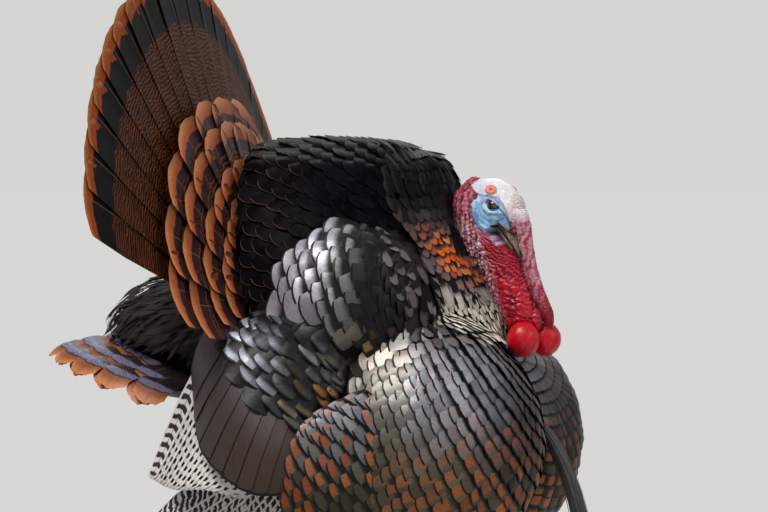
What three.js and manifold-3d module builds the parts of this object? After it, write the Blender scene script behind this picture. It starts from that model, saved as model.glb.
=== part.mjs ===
// A wild turkey gobbler in full strut, life size, as a still museum model.
// Millimetres, +Z up. The bird faces +X and +Y is its left side. The origin is on the floor, at the
// middle of the whole model's box.
import * as THREE from 'three';
import { mergeVertices } from 'three/addons/utils/BufferGeometryUtils.js';
import Module from 'manifold-3d';

const wasm = await Module();
wasm.setup();

// ---------------------------------------------------------------- driving dimensions
const GAP = 0.4;                        // clear gap between neighbouring pieces
const UP = new THREE.Vector3(0, 0, 1);
const LEFT = new THREE.Vector3(0, 1, 0);
const RIGHT_SIDE = -1;
const LEFT_SIDE = 1;

const TAIL_ROOT = [-146, 0, 413];       // where the rectrices leave the body
const TAIL = { radius: 402, sideRadius: 416, count: 18, spread: 72, lean: 16.5, sweepBack: 0.15, thick: 5, scallop: 13 };
const TAIL_COVERTS = { radius: 258, sideRadius: 264, count: 12, spread: 86, ahead: 17, thick: 16, scallop: 12 };
const UNDERTAIL = { length: 194, spread: 78, count: 10, rise: 30, droop: 66, curl: 6 };

const HEAD = { at: [112, -6, 540], yaw: -28, pitch: 40, radii: [38.5, 24.5, 28] };
const EYE = { ahead: 11, aside: 18.6, up: 1, radius: 6.8 };
const CARUNCLE = { at: [155.8, -20, 396.4], apart: 17.4, radius: 17.3 };

const FOOT = { x: -42, y: 62, pad: 13, toe: 8.5 };
const TOES = [                          // length, angle from straight ahead (inwards positive), claw
  { name: 'middle', length: 88, angle: 0, claw: 17 },
  { name: 'inner', length: 66, angle: 36, claw: 15 },
  { name: 'outer', length: 68, angle: -34, claw: 15 },
  { name: 'hind', length: 36, angle: 168, claw: 14 },
];
const ANKLE = { x: -70, y: 62, z: 168 };

// ---------------------------------------------------------------- materials
function finish(hex, roughness, metalness = 0) {
  return new THREE.MeshStandardMaterial({ color: hex, roughness, metalness });
}

const FINISHES = {
  mantle: finish('#15151a', 0.4, 0.3),
  breast: finish('#6d665c', 0.35, 0.5),
  neckPlumage: finish('#5a5450', 0.4, 0.4),
  scapular: finish('#9a9a98', 0.35, 0.5),
  covert: finish('#83827f', 0.35, 0.5),
  panel: finish('#45342b', 0.45, 0.3),
  secondary: finish('#b9b3aa', 0.6),
  primary: finish('#4b4642', 0.6),
  tail: finish('#4a2d1d', 0.55),
  tailCovert: finish('#a8532a', 0.55),
  undertail: finish('#7a3f24', 0.55),
  fluff: finish('#1d1715', 0.9),
  thigh: finish('#2b2522', 0.8),
  crown: finish('#d9dce0', 0.55),
  redSkin: finish('#b01524', 0.4),
  snood: finish('#b5505a', 0.45),
  bill: finish('#4d423b', 0.45),
  eye: finish('#1a0d08', 0.1),
  shank: finish('#9c5f58', 0.5),
  claw: finish('#3a2f2a', 0.4),
  beard: finish('#101014', 0.6),
};

// ---------------------------------------------------------------- shape tools
function solidOf(geometry) {
  geometry.deleteAttribute('normal');
  geometry.deleteAttribute('uv');
  const merged = mergeVertices(geometry, 1e-3);
  return new wasm.Manifold(new wasm.Mesh({
    numProp: 3,
    vertProperties: new Float32Array(merged.attributes.position.array),
    triVerts: new Uint32Array(merged.index.array),
  }));
}

// The other wing, leg or lobe: the same shape turned over the bird's middle plane.
function mirrored(geometry) {
  geometry.scale(1, -1, 1);
  const index = geometry.index.array;
  for (let i = 0; i < index.length; i += 3) {
    [index[i + 1], index[i + 2]] = [index[i + 2], index[i + 1]];
  }
  return geometry;
}

function onSide(geometry, side) {
  return side === RIGHT_SIDE ? mirrored(geometry) : geometry;
}

// Moves every vertex of a geometry by a function of its position.
function reshape(geometry, place) {
  const position = geometry.attributes.position;
  const v = new THREE.Vector3();
  for (let i = 0; i < position.count; i++) {
    const moved = place(v.fromBufferAttribute(position, i));
    position.setXYZ(i, moved.x, moved.y, moved.z);
  }
  return geometry;
}

// An ellipsoid with its long axis pitched down and turned about Z, in degrees.
function ellipsoid(at, radii, { pitch = 0, yaw = 0, around = 14, along = 10, grow = 0 } = {}) {
  const geometry = new THREE.SphereGeometry(1, around, along);
  geometry.rotateX(Math.PI / 2);
  geometry.scale(radii[0] + grow, radii[1] + grow, radii[2] + grow);
  geometry.rotateY(THREE.MathUtils.degToRad(pitch));
  geometry.rotateZ(THREE.MathUtils.degToRad(yaw));
  return geometry.translate(...at);
}

// A closed body along a smooth path. Each station is [x, y, z, half width, half depth], and the
// body rounds off over the stretch beyond the second and the last but one. The width is measured
// along `side`. Upright bodies keep their sections vertical.
function sweep(stations, { side = LEFT, around = 14, along = 10, upright = false, grow = 0 } = {}) {
  const path = new THREE.CatmullRomCurve3(stations.map((s) => new THREE.Vector3(s[0], s[1], s[2])));
  const sizes = new THREE.CatmullRomCurve3(
    stations.map((s) => new THREE.Vector3(s[3], s[4], 0)), false, 'catmullrom', 0.3);
  const stretch = 1 / (stations.length - 1);
  return reshape(new THREE.SphereGeometry(1, around, along), (v) => {
    const polar = Math.acos(THREE.MathUtils.clamp(v.y, -1, 1));
    const t = polar / Math.PI;
    const ring = Math.sin(polar);
    const fromEnd = Math.min(1, Math.min(t, 1 - t) / stretch);
    const cap = Math.sqrt(Math.max(0, 1 - (1 - fromEnd) ** 2));
    const [cos, sin] = ring < 1e-6 ? [0, 0] : [v.x / ring, v.z / ring];
    const tangent = path.getTangent(t);
    const across = side.clone().addScaledVector(tangent, -side.dot(tangent)).normalize();
    const deep = upright ? UP : tangent.clone().cross(across);
    const size = sizes.getPoint(t);
    return path.getPoint(t)
      .addScaledVector(tangent, grow * (2 * t - 1))
      .addScaledVector(across, cap * cos * (size.x + grow))
      .addScaledVector(deep, cap * sin * (size.y + grow));
  });
}

// A curved plate. surface(u, v) gives its middle, with u across and v along, each from 0 to 1.
function plate(surface, nu, nv, thick, grow = 0) {
  const edge = grow / 150;
  const outwards = (w) => (w < 1e-6 ? -edge : w > 1 - 1e-6 ? 1 + edge : w);
  const at = (u, v) => surface(outwards(u), outwards(v));
  const step = 1e-3;
  return reshape(new THREE.BoxGeometry(1, 1, 1, nu, nv, 1), (p) => {
    const u = p.x + 0.5;
    const v = p.y + 0.5;
    const du = surface(u + step, v).sub(surface(u - step, v));
    const dv = surface(u, v + step).sub(surface(u, v - step));
    const normal = du.cross(dv).normalize();
    const half = thick(u, v) / 2 + grow;
    return at(u, v).addScaledVector(normal, 2 * p.z * half);
  });
}

// A smooth line through a few points, read by a share of its length from 0 to 1.
function guide(points) {
  const curve = new THREE.CatmullRomCurve3(points.map((p) => new THREE.Vector3(...p)));
  return (t) => {
    const held = THREE.MathUtils.clamp(t, 0, 1);
    return curve.getPoint(held).addScaledVector(curve.getTangent(held), (t - held) * curve.getLength());
  };
}

// A plate between a line of feather roots and a line of feather tips, bulging outwards, with a
// rounded end for each of `count` feathers.
function featherPlate({ roots, tips, bulge, count, thick, scallop, nu, nv = 5 }, grow = 0) {
  const from = guide(roots);
  const to = guide(tips);
  return plate((u, v) => {
    const a = from(u);
    const b = to(u);
    const round = scallop * (1 - Math.abs(Math.sin(Math.PI * count * u)));
    const reach = b.clone().sub(a);
    const p = a.addScaledVector(reach, v * (1 - round / reach.length()));
    return p.add(new THREE.Vector3(0, bulge * Math.sin(Math.PI * THREE.MathUtils.clamp(v, 0, 1)), 0));
  }, nu, nv, thick, grow);
}

function union(geometries) {
  return geometries.map(solidOf).reduce((a, b) => a.add(b));
}

// The largest single body, without the slivers that a cut leaves.
function largest(solid) {
  const tidy = solid.asOriginal().simplify(0.1);
  return tidy.decompose().sort((a, b) => b.volume() - a.volume())[0];
}

function cut(solid, ...cutters) {
  return largest(cutters.flat().reduce((left, cutter) => left.subtract(cutter), solid));
}

const block = (size, at) => solidOf(new THREE.BoxGeometry(...size).translate(...at));

// ---------------------------------------------------------------- the finished group
export const turkey = new THREE.Group();

function addPiece(name, solid, material) {
  const { vertProperties, triVerts } = solid.getMesh();
  const geometry = new THREE.BufferGeometry();
  geometry.setAttribute('position', new THREE.BufferAttribute(new Float32Array(vertProperties), 3));
  geometry.setIndex(new THREE.BufferAttribute(new Uint32Array(triVerts), 1));
  geometry.computeVertexNormals();
  const mesh = new THREE.Mesh(geometry, material);
  mesh.name = name;
  turkey.add(mesh);
}

// ---------------------------------------------------------------- head and neck
const headAhead = new THREE.Vector3(1, 0, 0).applyAxisAngle(UP, THREE.MathUtils.degToRad(HEAD.yaw));
const headLeft = LEFT.clone().applyAxisAngle(UP, THREE.MathUtils.degToRad(HEAD.yaw));

// A point given as [ahead, left, up] of the middle of the skull.
function headPoint(ahead, left, up) {
  return new THREE.Vector3(...HEAD.at)
    .addScaledVector(headAhead, ahead)
    .addScaledVector(headLeft, left)
    .addScaledVector(UP, up)
    .toArray();
}

const headStations = (rows) => rows.map(([a, l, u, ...sizes]) => [...headPoint(a, l, u), ...sizes]);

function eyeball(side, grow = 0) {
  const at = headPoint(EYE.ahead, side * EYE.aside, EYE.up);
  return solidOf(ellipsoid(at, [EYE.radius, EYE.radius, EYE.radius], { around: 10, along: 6, grow }));
}

function billUpper(grow = 0) {
  return solidOf(sweep(headStations([
    [11, 0, -17, 10, 7], [18, 0, -27, 8.6, 6.6], [24.5, 0, -37.5, 6.2, 5], [29.5, 0, -46.5, 3.6, 3],
    [31.2, 0, -54.5, 0.9, 0.9],
  ]), { side: headLeft, around: 10, along: 7, grow }));
}

function billLower(grow = 0) {
  return solidOf(sweep(headStations([
    [4, 0, -24, 9, 4.2], [11, 0, -32, 7.5, 4.2], [17.5, 0, -40, 5.4, 3.4], [24, 0, -47.5, 1.8, 1.4],
  ]), { side: headLeft, around: 8, along: 6, grow }));
}

function skull(grow = 0) {
  return solidOf(ellipsoid(HEAD.at, HEAD.radii, { pitch: HEAD.pitch, yaw: HEAD.yaw, around: 12, along: 8, grow }));
}

function snoodBody(grow = 0) {
  return solidOf(sweep(headStations([
    [31, 0, -6, 8.5, 8.5], [36, 1, -22, 7.8, 8], [39, 4, -49, 7, 7.2], [43, 8, -72, 5.4, 6.2],
    [49.5, 11, -92, 5.6, 6.2], [54, 14.5, -107, 6, 6.4], [55.5, 18.5, -119, 5.8, 6.2], [54.5, 21.5, -127, 4, 4.2],
  ]), { side: headLeft, around: 8, along: 10, grow }));
}

function caruncle(side, grow = 0) {
  const at = new THREE.Vector3(...CARUNCLE.at).addScaledVector(headLeft, side * CARUNCLE.apart).toArray();
  const r = CARUNCLE.radius;
  return solidOf(ellipsoid(at, [r, r, r * 1.06], { yaw: HEAD.yaw, around: 12, along: 8, grow }));
}

const BARE_NECK = [
  [89, 0, 570, 8, 9], [88, 0, 563, 15, 18], [87, -0.5, 553, 20, 26], [87, -1, 539, 23, 32],
  [98, -3, 506, 24, 31], [115, -6, 480, 22, 27],
  [125, -9, 459, 22, 24.5], [134, -12, 437, 22, 23], [143, -15.5, 417, 20, 18], [149, -18, 402, 15, 12],
];

function bareNeck(grow = 0) {
  return solidOf(sweep(BARE_NECK, { side: headLeft, around: 10, along: 10, grow }));
}

const NECK_BASE = [
  [14, 0, 602, 28, 28], [26, 0, 570, 54, 40], [30, 0, 526, 66, 42], [38, 0, 484, 74, 45],
  [56, 0, 444, 78, 46], [78, -2, 402, 76, 48], [98, -4, 356, 60, 40],
];

function neckBase(grow = 0) {
  return solidOf(sweep(NECK_BASE, { around: 14, along: 10, grow }));
}

const eyes = { left: eyeball(LEFT_SIDE), right: eyeball(RIGHT_SIDE) };
const eyeRoom = [eyeball(LEFT_SIDE, GAP), eyeball(RIGHT_SIDE, GAP)];
const bills = { upper: billUpper(), lower: cut(billLower(), billUpper(GAP)) };
const billRoom = [billUpper(GAP), billLower(GAP)];
const head = cut(skull(), eyeRoom, billRoom);
const snood = cut(snoodBody(), skull(GAP), billRoom);
const midline = solidOf(new THREE.BoxGeometry(200, GAP, 200)
  .rotateZ(THREE.MathUtils.degToRad(HEAD.yaw)).translate(...CARUNCLE.at));
const caruncles = {
  left: cut(caruncle(LEFT_SIDE), midline, snoodBody(GAP)),
  right: cut(caruncle(RIGHT_SIDE), midline, snoodBody(GAP)),
};
const caruncleRoom = [caruncle(LEFT_SIDE, GAP), caruncle(RIGHT_SIDE, GAP)];
const neck = cut(bareNeck(), skull(GAP), billRoom, snoodBody(GAP), caruncleRoom);
const plumedNeck = cut(neckBase(), bareNeck(GAP), skull(GAP), caruncleRoom);

addPiece('eye_left', eyes.left, FINISHES.eye);
addPiece('eye_right', eyes.right, FINISHES.eye);
addPiece('bill_upper', bills.upper, FINISHES.bill);
addPiece('bill_lower', bills.lower, FINISHES.bill);
addPiece('head', head, FINISHES.crown);
addPiece('snood', snood, FINISHES.snood);
addPiece('caruncle_left', caruncles.left, FINISHES.redSkin);
addPiece('caruncle_right', caruncles.right, FINISHES.redSkin);
addPiece('neck_bare', neck, FINISHES.redSkin);
addPiece('neck_feathered', plumedNeck, FINISHES.neckPlumage);

// ---------------------------------------------------------------- breast and beard
const BREAST = { at: [48, 76, 288], radii: [136, 120, 134] };

function breastLobe(side, grow = 0) {
  const [x, y, z] = BREAST.at;
  return solidOf(ellipsoid([x, side * y, z], BREAST.radii, { around: 14, along: 10, grow }));
}

const middlePlane = block([900, GAP, 900], [0, 0, 400]);
const neckRoom = [neckBase(GAP), bareNeck(GAP), ...caruncleRoom];
const breastRoom = [breastLobe(LEFT_SIDE, GAP), breastLobe(RIGHT_SIDE, GAP)];
const breast = {
  left: cut(breastLobe(LEFT_SIDE), middlePlane, block([900, 900, 900], [0, -450, 400]), neckRoom),
  right: cut(breastLobe(RIGHT_SIDE), middlePlane, block([900, 900, 900], [0, 450, 400]), neckRoom),
};
addPiece('breast_left', breast.left, FINISHES.breast);
addPiece('breast_right', breast.right, FINISHES.breast);

const beard = cut(solidOf(sweep([
  [150, 0, 306, 8, 6], [172, 0, 282, 11, 8], [192, -1, 240, 14, 9], [206, -2, 190, 16, 9],
  [211, -3, 140, 15, 7], [208, -4, 92, 8, 3],
], { around: 8, along: 7 })), breastRoom);
addPiece('beard', beard, FINISHES.beard);

// ---------------------------------------------------------------- wings
// Written for the left wing. The wing hangs open: the forearm runs from the elbow, high behind, to
// the wrist, low in front, and all the flight feathers point down and back from it.
const FOREARM = [[-148, 168, 412], [-105, 186, 372], [-60, 192, 326], [-20, 180, 288]];
const PANEL = {
  roots: FOREARM,
  tips: [[-186, 158, 345], [-166, 194, 280], [-118, 216, 240], [-78, 214, 232], [-40, 194, 244]],
  bulge: 14, count: 8, thick: () => 7, scallop: 4, nu: 16, nv: 3,
};
const SECONDARIES = {
  roots: FOREARM.map(([x, y, z]) => [x - 6, y - 16, z - 4]),
  tips: [[-240, 134, 246], [-204, 170, 236], [-156, 194, 236], [-104, 198, 222]],
  bulge: 8, count: 7, thick: () => 5, scallop: 9, nu: 21, nv: 2,
};
const PRIMARIES = {
  roots: [[-62, 168, 308], [-46, 172, 300], [-32, 172, 293], [-20, 170, 286]],
  tips: [[-243, 140, 200], [-244, 158, 124], [-226, 174, 56], [-178, 186, 7]],
  bulge: 6, count: 7, thick: () => 5, scallop: 14, nu: 21, nv: 2,
};
const COVERT_MASS = { at: [-84, 137, 345], radii: [92, 66, 88], yaw: -10 };
const SCAPULAR_MASS = { at: [-24, 110, 432], radii: [98, 66, 88], yaw: -6 };

const wingMass = ({ at, radii, yaw }, side, grow = 0) => solidOf(
  onSide(ellipsoid(at, radii, { yaw, around: 12, along: 8, grow }), side));
const wingPlate = (shape, side, grow = 0) => solidOf(onSide(featherPlate(shape, grow), side));

const breastRoomBoth = [...breastRoom, neckBase(GAP)];
const wingRoom = [];
const panelRoom = [];
for (const [name, side] of [['left', LEFT_SIDE], ['right', RIGHT_SIDE]]) {
  const panel = cut(wingPlate(PANEL, side), breastRoomBoth);
  const coverts = cut(wingMass(COVERT_MASS, side), breastRoomBoth, wingPlate(PANEL, side, GAP));
  const scapulars = cut(wingMass(SCAPULAR_MASS, side), breastRoomBoth, wingMass(COVERT_MASS, side, GAP),
    wingPlate(PANEL, side, GAP));
  const massRoom = [wingMass(COVERT_MASS, side, GAP), wingMass(SCAPULAR_MASS, side, GAP)];
  const secondaries = cut(wingPlate(SECONDARIES, side), breastRoomBoth, wingPlate(PANEL, side, GAP), massRoom);
  const primaries = cut(wingPlate(PRIMARIES, side), breastRoomBoth, wingPlate(PANEL, side, GAP), massRoom,
    wingPlate(SECONDARIES, side, GAP));
  addPiece(`wing_${name}_panel`, panel, FINISHES.panel);
  addPiece(`wing_${name}_coverts`, coverts, FINISHES.covert);
  addPiece(`wing_${name}_scapulars`, scapulars, FINISHES.scapular);
  addPiece(`wing_${name}_secondaries`, secondaries, FINISHES.secondary);
  addPiece(`wing_${name}_primaries`, primaries, FINISHES.primary);
  wingRoom.push(...massRoom);
  panelRoom.push(wingPlate(PANEL, side, GAP), wingPlate(SECONDARIES, side, GAP));
}

// ---------------------------------------------------------------- tail
// Direction of a tail feather that leans `angle` degrees towards the bird's left. The fan tilts
// back, and its side feathers sweep back further, so the whole is a shallow cone.
function tailWay(angle) {
  const a = THREE.MathUtils.degToRad(angle);
  const lean = THREE.MathUtils.degToRad(TAIL.lean);
  const back = Math.sin(lean) * Math.cos(a) + TAIL.sweepBack * Math.sin(a) ** 2;
  return new THREE.Vector3(-back, Math.sin(a), Math.cos(lean) * Math.cos(a));
}

function tailPoint(angle, radius, ahead = 0) {
  const lean = THREE.MathUtils.degToRad(TAIL.lean);
  return new THREE.Vector3(...TAIL_ROOT)
    .addScaledVector(tailWay(angle), radius)
    .add(new THREE.Vector3(Math.cos(lean), 0, Math.sin(lean)).multiplyScalar(ahead));
}

// A round fan of `count` feathers between two radii, with a rounded end to each feather.
function fan({ spread, count, thick, scallop, inner, reach, ahead }, nu, nv, grow = 0) {
  return plate((u, v) => {
    const angle = THREE.MathUtils.lerp(-spread, spread, u);
    const tip = reach(angle) - scallop * (1 - Math.abs(Math.sin(Math.PI * count * u)));
    return tailPoint(-angle, THREE.MathUtils.lerp(inner, tip, v), ahead(v));
  }, nu, nv, () => thick, grow);
}

const RECTRICES = {
  ...TAIL, inner: 34,
  reach: (angle) => THREE.MathUtils.lerp(TAIL.radius, TAIL.sideRadius, (angle / TAIL.spread) ** 2),
  ahead: () => 0,
};
const COVERTS = {
  ...TAIL_COVERTS, inner: 34,
  reach: (angle) => THREE.MathUtils.lerp(
    TAIL_COVERTS.radius, TAIL_COVERTS.sideRadius, Math.abs(angle) / TAIL_COVERTS.spread),
  ahead: (v) => THREE.MathUtils.lerp(TAIL_COVERTS.ahead + 6, TAIL_COVERTS.ahead - 4, v),
};
const rectrices = (grow = 0) => solidOf(fan(RECTRICES, 54, 3, grow));
const upperCoverts = (grow = 0) => solidOf(fan(COVERTS, 36, 4, grow));

// Everything behind the front of the tail coverts, which the trunk keeps clear of.
const behindCoverts = solidOf(reshape(new THREE.BoxGeometry(1, 1, 1, 12, 2, 1), (p) => {
  const reachBack = p.z > 0 ? 0 : 320;
  const spread = TAIL_COVERTS.spread + 6;
  const front = tailPoint(THREE.MathUtils.lerp(-spread, spread, p.x + 0.5),
    THREE.MathUtils.lerp(2, 330, p.y + 0.5), TAIL_COVERTS.ahead + TAIL_COVERTS.thick / 2 + 10);
  return front.sub(new THREE.Vector3(reachBack, 0, 0));
}));

// ---------------------------------------------------------------- trunk
const TRUNK = [
  [-214, 0, 425, 60, 66], [-194, 0, 440, 98, 112], [-160, 0, 450, 128, 158], [-120, 0, 436, 146, 178],
  [-64, 0, 406, 154, 212], [-14, 0, 387, 142, 226], [26, 0, 385, 114, 215], [62, 0, 350, 88, 150],
  [100, 0, 340, 62, 100], [128, 0, 335, 50, 60],
];
const trunkBody = (grow = 0) => solidOf(sweep(TRUNK, { around: 18, along: 15, upright: true, grow }));
const trunk = cut(trunkBody(), behindCoverts, rectrices(GAP), breastRoom, neckBase(GAP), bareNeck(GAP), wingRoom);
addPiece('trunk', trunk, FINISHES.mantle);
addPiece('tail_fan', largest(rectrices()), FINISHES.tail);
addPiece('tail_upper_coverts', cut(upperCoverts(), rectrices(GAP), wingRoom, panelRoom,
  trunkBody(GAP).subtract(behindCoverts)), FINISHES.tailCovert);

// ---------------------------------------------------------------- under the tail
const UNDER_ROOT = [-196, 0, 367];

function underTail(grow = 0) {
  return solidOf(plate((u, v) => {
    const angle = THREE.MathUtils.degToRad(THREE.MathUtils.lerp(-UNDERTAIL.spread, UNDERTAIL.spread, u));
    const tip = UNDERTAIL.length - 9 * (1 - Math.abs(Math.sin(Math.PI * u * UNDERTAIL.count)));
    const r = THREE.MathUtils.lerp(20, tip, v);
    return new THREE.Vector3(
      UNDER_ROOT[0] - r * Math.cos(angle),
      -0.78 * r * Math.sin(angle),
      UNDER_ROOT[2] + (UNDERTAIL.rise - UNDERTAIL.droop * (1 - Math.cos(angle))) * v - UNDERTAIL.curl * v ** 4);
  }, 20, 3, (u, v) => THREE.MathUtils.lerp(44, 12, v), grow));
}

const fluffBody = (grow = 0) => solidOf(ellipsoid([-228, 0, 394], [104, 104, 76], { around: 12, along: 8, grow }));
const backPlates = [rectrices(GAP), upperCoverts(GAP)];
addPiece('tail_under_coverts', cut(underTail(), trunkBody(GAP), backPlates, wingRoom), FINISHES.undertail);
addPiece('vent_fluff', cut(fluffBody(), trunkBody(GAP), underTail(GAP), backPlates, wingRoom,
  block([300, 500, 400], [-10, 0, 600])), FINISHES.fluff);

// ---------------------------------------------------------------- legs
const aboveFloor = block([1200, 1200, 1200], [0, 0, 600]);
const bodyRoom = [trunkBody(GAP), ...breastRoom, ...wingRoom];

function thighBody(side, grow = 0) {
  return solidOf(onSide(sweep([
    [ANKLE.x + 32, 72, 240, 50, 62], [ANKLE.x + 22, 70, 206, 44, 52], [ANKLE.x + 10, 66, 176, 26, 30],
    [ANKLE.x, ANKLE.y, 148, 12, 13],
  ], { around: 12, along: 7, grow }), side));
}

function shankBody(side, grow = 0) {
  return solidOf(onSide(sweep([
    [ANKLE.x, ANKLE.y, ANKLE.z + 8, 8.5, 10], [ANKLE.x + 2, ANKLE.y, ANKLE.z - 6, 8.5, 10.5],
    [ANKLE.x + 12, ANKLE.y, 130, 6.2, 8], [FOOT.x - 15, FOOT.y, 80, 5.8, 7.6], [FOOT.x - 5, FOOT.y, 36, 6.6, 8],
    [FOOT.x, FOOT.y, 12, 8, 8],
  ], { around: 10, along: 9, grow }), side));
}

// The way a toe points, for the left foot.
function toeWay({ angle }) {
  return new THREE.Vector3(1, 0, 0).applyAxisAngle(UP, THREE.MathUtils.degToRad(-angle));
}

function toeStations(toe) {
  const way = toeWay(toe);
  const at = (share, z, wide, tall) => {
    const p = new THREE.Vector3(FOOT.x, FOOT.y, z).addScaledVector(way, share * toe.length);
    return [p.x, p.y, p.z, wide, tall];
  };
  const r = toe.name === 'hind' ? FOOT.toe - 1.5 : FOOT.toe;
  const sunk = 1.8;                      // how far below the floor the round of the toe would reach
  return [at(0, r - sunk, r + 1, r), at(0.34, r - 1 - sunk, r - 0.5, r - 1),
    at(0.62, r - 1.6 - sunk, r - 1.4, r - 1.6), at(0.84, r - 2.2 - sunk, r - 1.8, r - 2.2),
    at(1, r - 3.4 - sunk, r - 3, r - 3.4)];
}

function toeBody(toe, side, grow = 0) {
  const flat = new THREE.Vector3().crossVectors(UP, toeWay(toe));
  return solidOf(onSide(sweep(toeStations(toe), { side: flat, around: 6, along: 5, grow }), side));
}

function clawBody(toe, side) {
  const way = toeWay(toe);
  const at = (ahead, z, r) => {
    const p = new THREE.Vector3(FOOT.x, FOOT.y, z).addScaledVector(way, toe.length + ahead);
    return [p.x, p.y, p.z, r, r * 1.15];
  };
  const flat = new THREE.Vector3().crossVectors(UP, way);
  return solidOf(onSide(sweep([
    at(-5, 6.5, 3.6), at(toe.claw * 0.35, 7.5, 3.2), at(toe.claw * 0.75, 5, 1.9), at(toe.claw, 1.6, 0.7),
  ], { side: flat, around: 6, along: 4 }), side));
}

for (const [name, side] of [['left', LEFT_SIDE], ['right', RIGHT_SIDE]]) {
  const pad = (grow = 0) => solidOf(ellipsoid([FOOT.x, side * FOOT.y, 7], [FOOT.pad, FOOT.pad - 1, 9],
    { around: 10, along: 6, grow }));
  const toes = (grow) => TOES.map((toe) => toeBody(toe, side, grow));
  const footSolid = (grow = 0) => toes(grow).reduce((a, b) => a.add(b), pad(grow));
  const foot = largest(footSolid().intersect(aboveFloor));
  const thigh = cut(thighBody(side), bodyRoom);
  const shank = cut(shankBody(side), thighBody(side, GAP), footSolid(GAP));
  const spurAt = [FOOT.x - 15, FOOT.y - 3, 62];
  const spur = cut(solidOf(onSide(sweep([
    [spurAt[0] + 2, spurAt[1], spurAt[2], 5, 5], [spurAt[0] - 10, spurAt[1] - 3, spurAt[2] + 1, 4, 4],
    [spurAt[0] - 20, spurAt[1] - 5, spurAt[2] + 5, 2.4, 2.4], [spurAt[0] - 27, spurAt[1] - 6, spurAt[2] + 11, 0.8, 0.8],
  ], { around: 6, along: 5 }), side)), shankBody(side, GAP));
  addPiece(`thigh_${name}`, thigh, FINISHES.thigh);
  addPiece(`shank_${name}`, shank, FINISHES.shank);
  addPiece(`foot_${name}`, foot, FINISHES.shank);
  addPiece(`spur_${name}`, spur, FINISHES.claw);
  for (const toe of TOES) {
    const claw = cut(clawBody(toe, side), footSolid(GAP)).intersect(aboveFloor);
    addPiece(`claw_${name}_${toe.name}`, largest(claw), FINISHES.claw);
  }
}

// ---------------------------------------------------------------- the part's own frame
const box = new THREE.Box3().setFromObject(turkey);
const middle = box.getCenter(new THREE.Vector3());
turkey.position.set(-middle.x, -middle.y, -box.min.z);

export default turkey;
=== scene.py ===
"""A wild turkey gobbler in full strut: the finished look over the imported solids.

Shapes are worked out in millimetres in the bird's own axes (+X the way it faces, +Y its left,
+Z up from the floor) and turned into the frame's metres when a mesh is made.
"""
import math

import bmesh
import bpy
import numpy as np
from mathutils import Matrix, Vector
from mathutils.bvhtree import BVHTree


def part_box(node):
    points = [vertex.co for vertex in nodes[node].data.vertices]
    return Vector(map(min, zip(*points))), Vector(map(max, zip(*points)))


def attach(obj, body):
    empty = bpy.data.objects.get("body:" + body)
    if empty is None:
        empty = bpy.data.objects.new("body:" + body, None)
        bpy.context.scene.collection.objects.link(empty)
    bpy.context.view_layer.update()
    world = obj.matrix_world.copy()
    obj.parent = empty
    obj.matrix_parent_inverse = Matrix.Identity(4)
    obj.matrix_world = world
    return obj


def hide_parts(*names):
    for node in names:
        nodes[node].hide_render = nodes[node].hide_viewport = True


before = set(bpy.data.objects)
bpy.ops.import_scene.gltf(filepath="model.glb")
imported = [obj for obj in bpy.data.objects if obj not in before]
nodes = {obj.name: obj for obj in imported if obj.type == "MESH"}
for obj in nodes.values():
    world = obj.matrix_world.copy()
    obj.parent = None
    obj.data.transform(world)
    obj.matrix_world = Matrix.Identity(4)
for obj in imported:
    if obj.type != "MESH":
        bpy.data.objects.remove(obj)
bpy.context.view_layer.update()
rng = np.random.default_rng(7)

MM = 0.001
RIGHT, LEFT = -1, 1
WORD = {RIGHT: "right", LEFT: "left"}

# The bird's own X zero, from where the breast stands in the frame.
BREAST_X = 48
low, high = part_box("breast_left")
BIRD_X = (low.x + high.x) / 2 / MM - BREAST_X


# ------------------------------------------------------------------ small tools
def vec(*values):
    return np.array(values, float)


def unit(v):
    v = np.asarray(v, float)
    return v / np.maximum(np.linalg.norm(v, axis=-1, keepdims=True), 1e-9)


def lerp(a, b, t):
    return a + (b - a) * t


def clip01(x):
    return np.clip(x, 0, 1)


def smooth(t, start=0.0, end=1.0):
    """0 before the start and 1 after the end, with a soft step between."""
    t = clip01((t - start) / (end - start))
    return t * t * (3 - 2 * t)


def bump_at(x, middle, width):
    return np.exp(-(((x - middle) / width) ** 2))


def to_frame(points):
    return (points + vec(BIRD_X, 0, 0)) * MM


def from_frame(points):
    return points / MM - vec(BIRD_X, 0, 0)


def wave_noise(points, scale, seed):
    """A cheap smooth noise of about unit size, made of a few turned sine waves."""
    local = np.random.default_rng(seed)
    total = np.zeros(points.shape[:-1])
    for octave in range(5):
        way = unit(local.normal(size=3))
        phase = local.uniform(0, 6.28)
        total += np.sin(points @ way * (1.6 ** octave) / scale * 2.2 + phase) / (1.25 ** octave)
    return total / 2.4


def catmull(points):
    """A smooth curve through a few points, as a function of a share from 0 to 1."""
    p = np.asarray(points, float)
    p = np.vstack([2 * p[0] - p[1], p, 2 * p[-1] - p[-2]])

    def at(t):
        t = np.asarray(t, float)
        spans = len(p) - 3
        x = clip01(t) * spans
        i = np.minimum(x.astype(int), spans - 1)
        f = (x - i)[..., None]
        a, b, c, d = p[i], p[i + 1], p[i + 2], p[i + 3]
        mid = 0.5 * (2 * b + (c - a) * f + (2 * a - 5 * b + 4 * c - d) * f ** 2
                     + (3 * b - a - 3 * c + d) * f ** 3)
        over = (t - clip01(t))[..., None]
        return mid + over * (c - b) * spans

    return at


# ------------------------------------------------------------------ mesh building
def link(name, data):
    obj = bpy.data.objects.new(name, data)
    bpy.context.scene.collection.objects.link(obj)
    return obj


def shade_smooth(mesh):
    mesh.polygons.foreach_set("use_smooth", np.ones(len(mesh.polygons), bool))


def set_values(mesh, layer, data):
    attribute = mesh.attributes.new(layer, "FLOAT", "POINT")
    attribute.data.foreach_set("value", np.asarray(data, np.float32))


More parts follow.
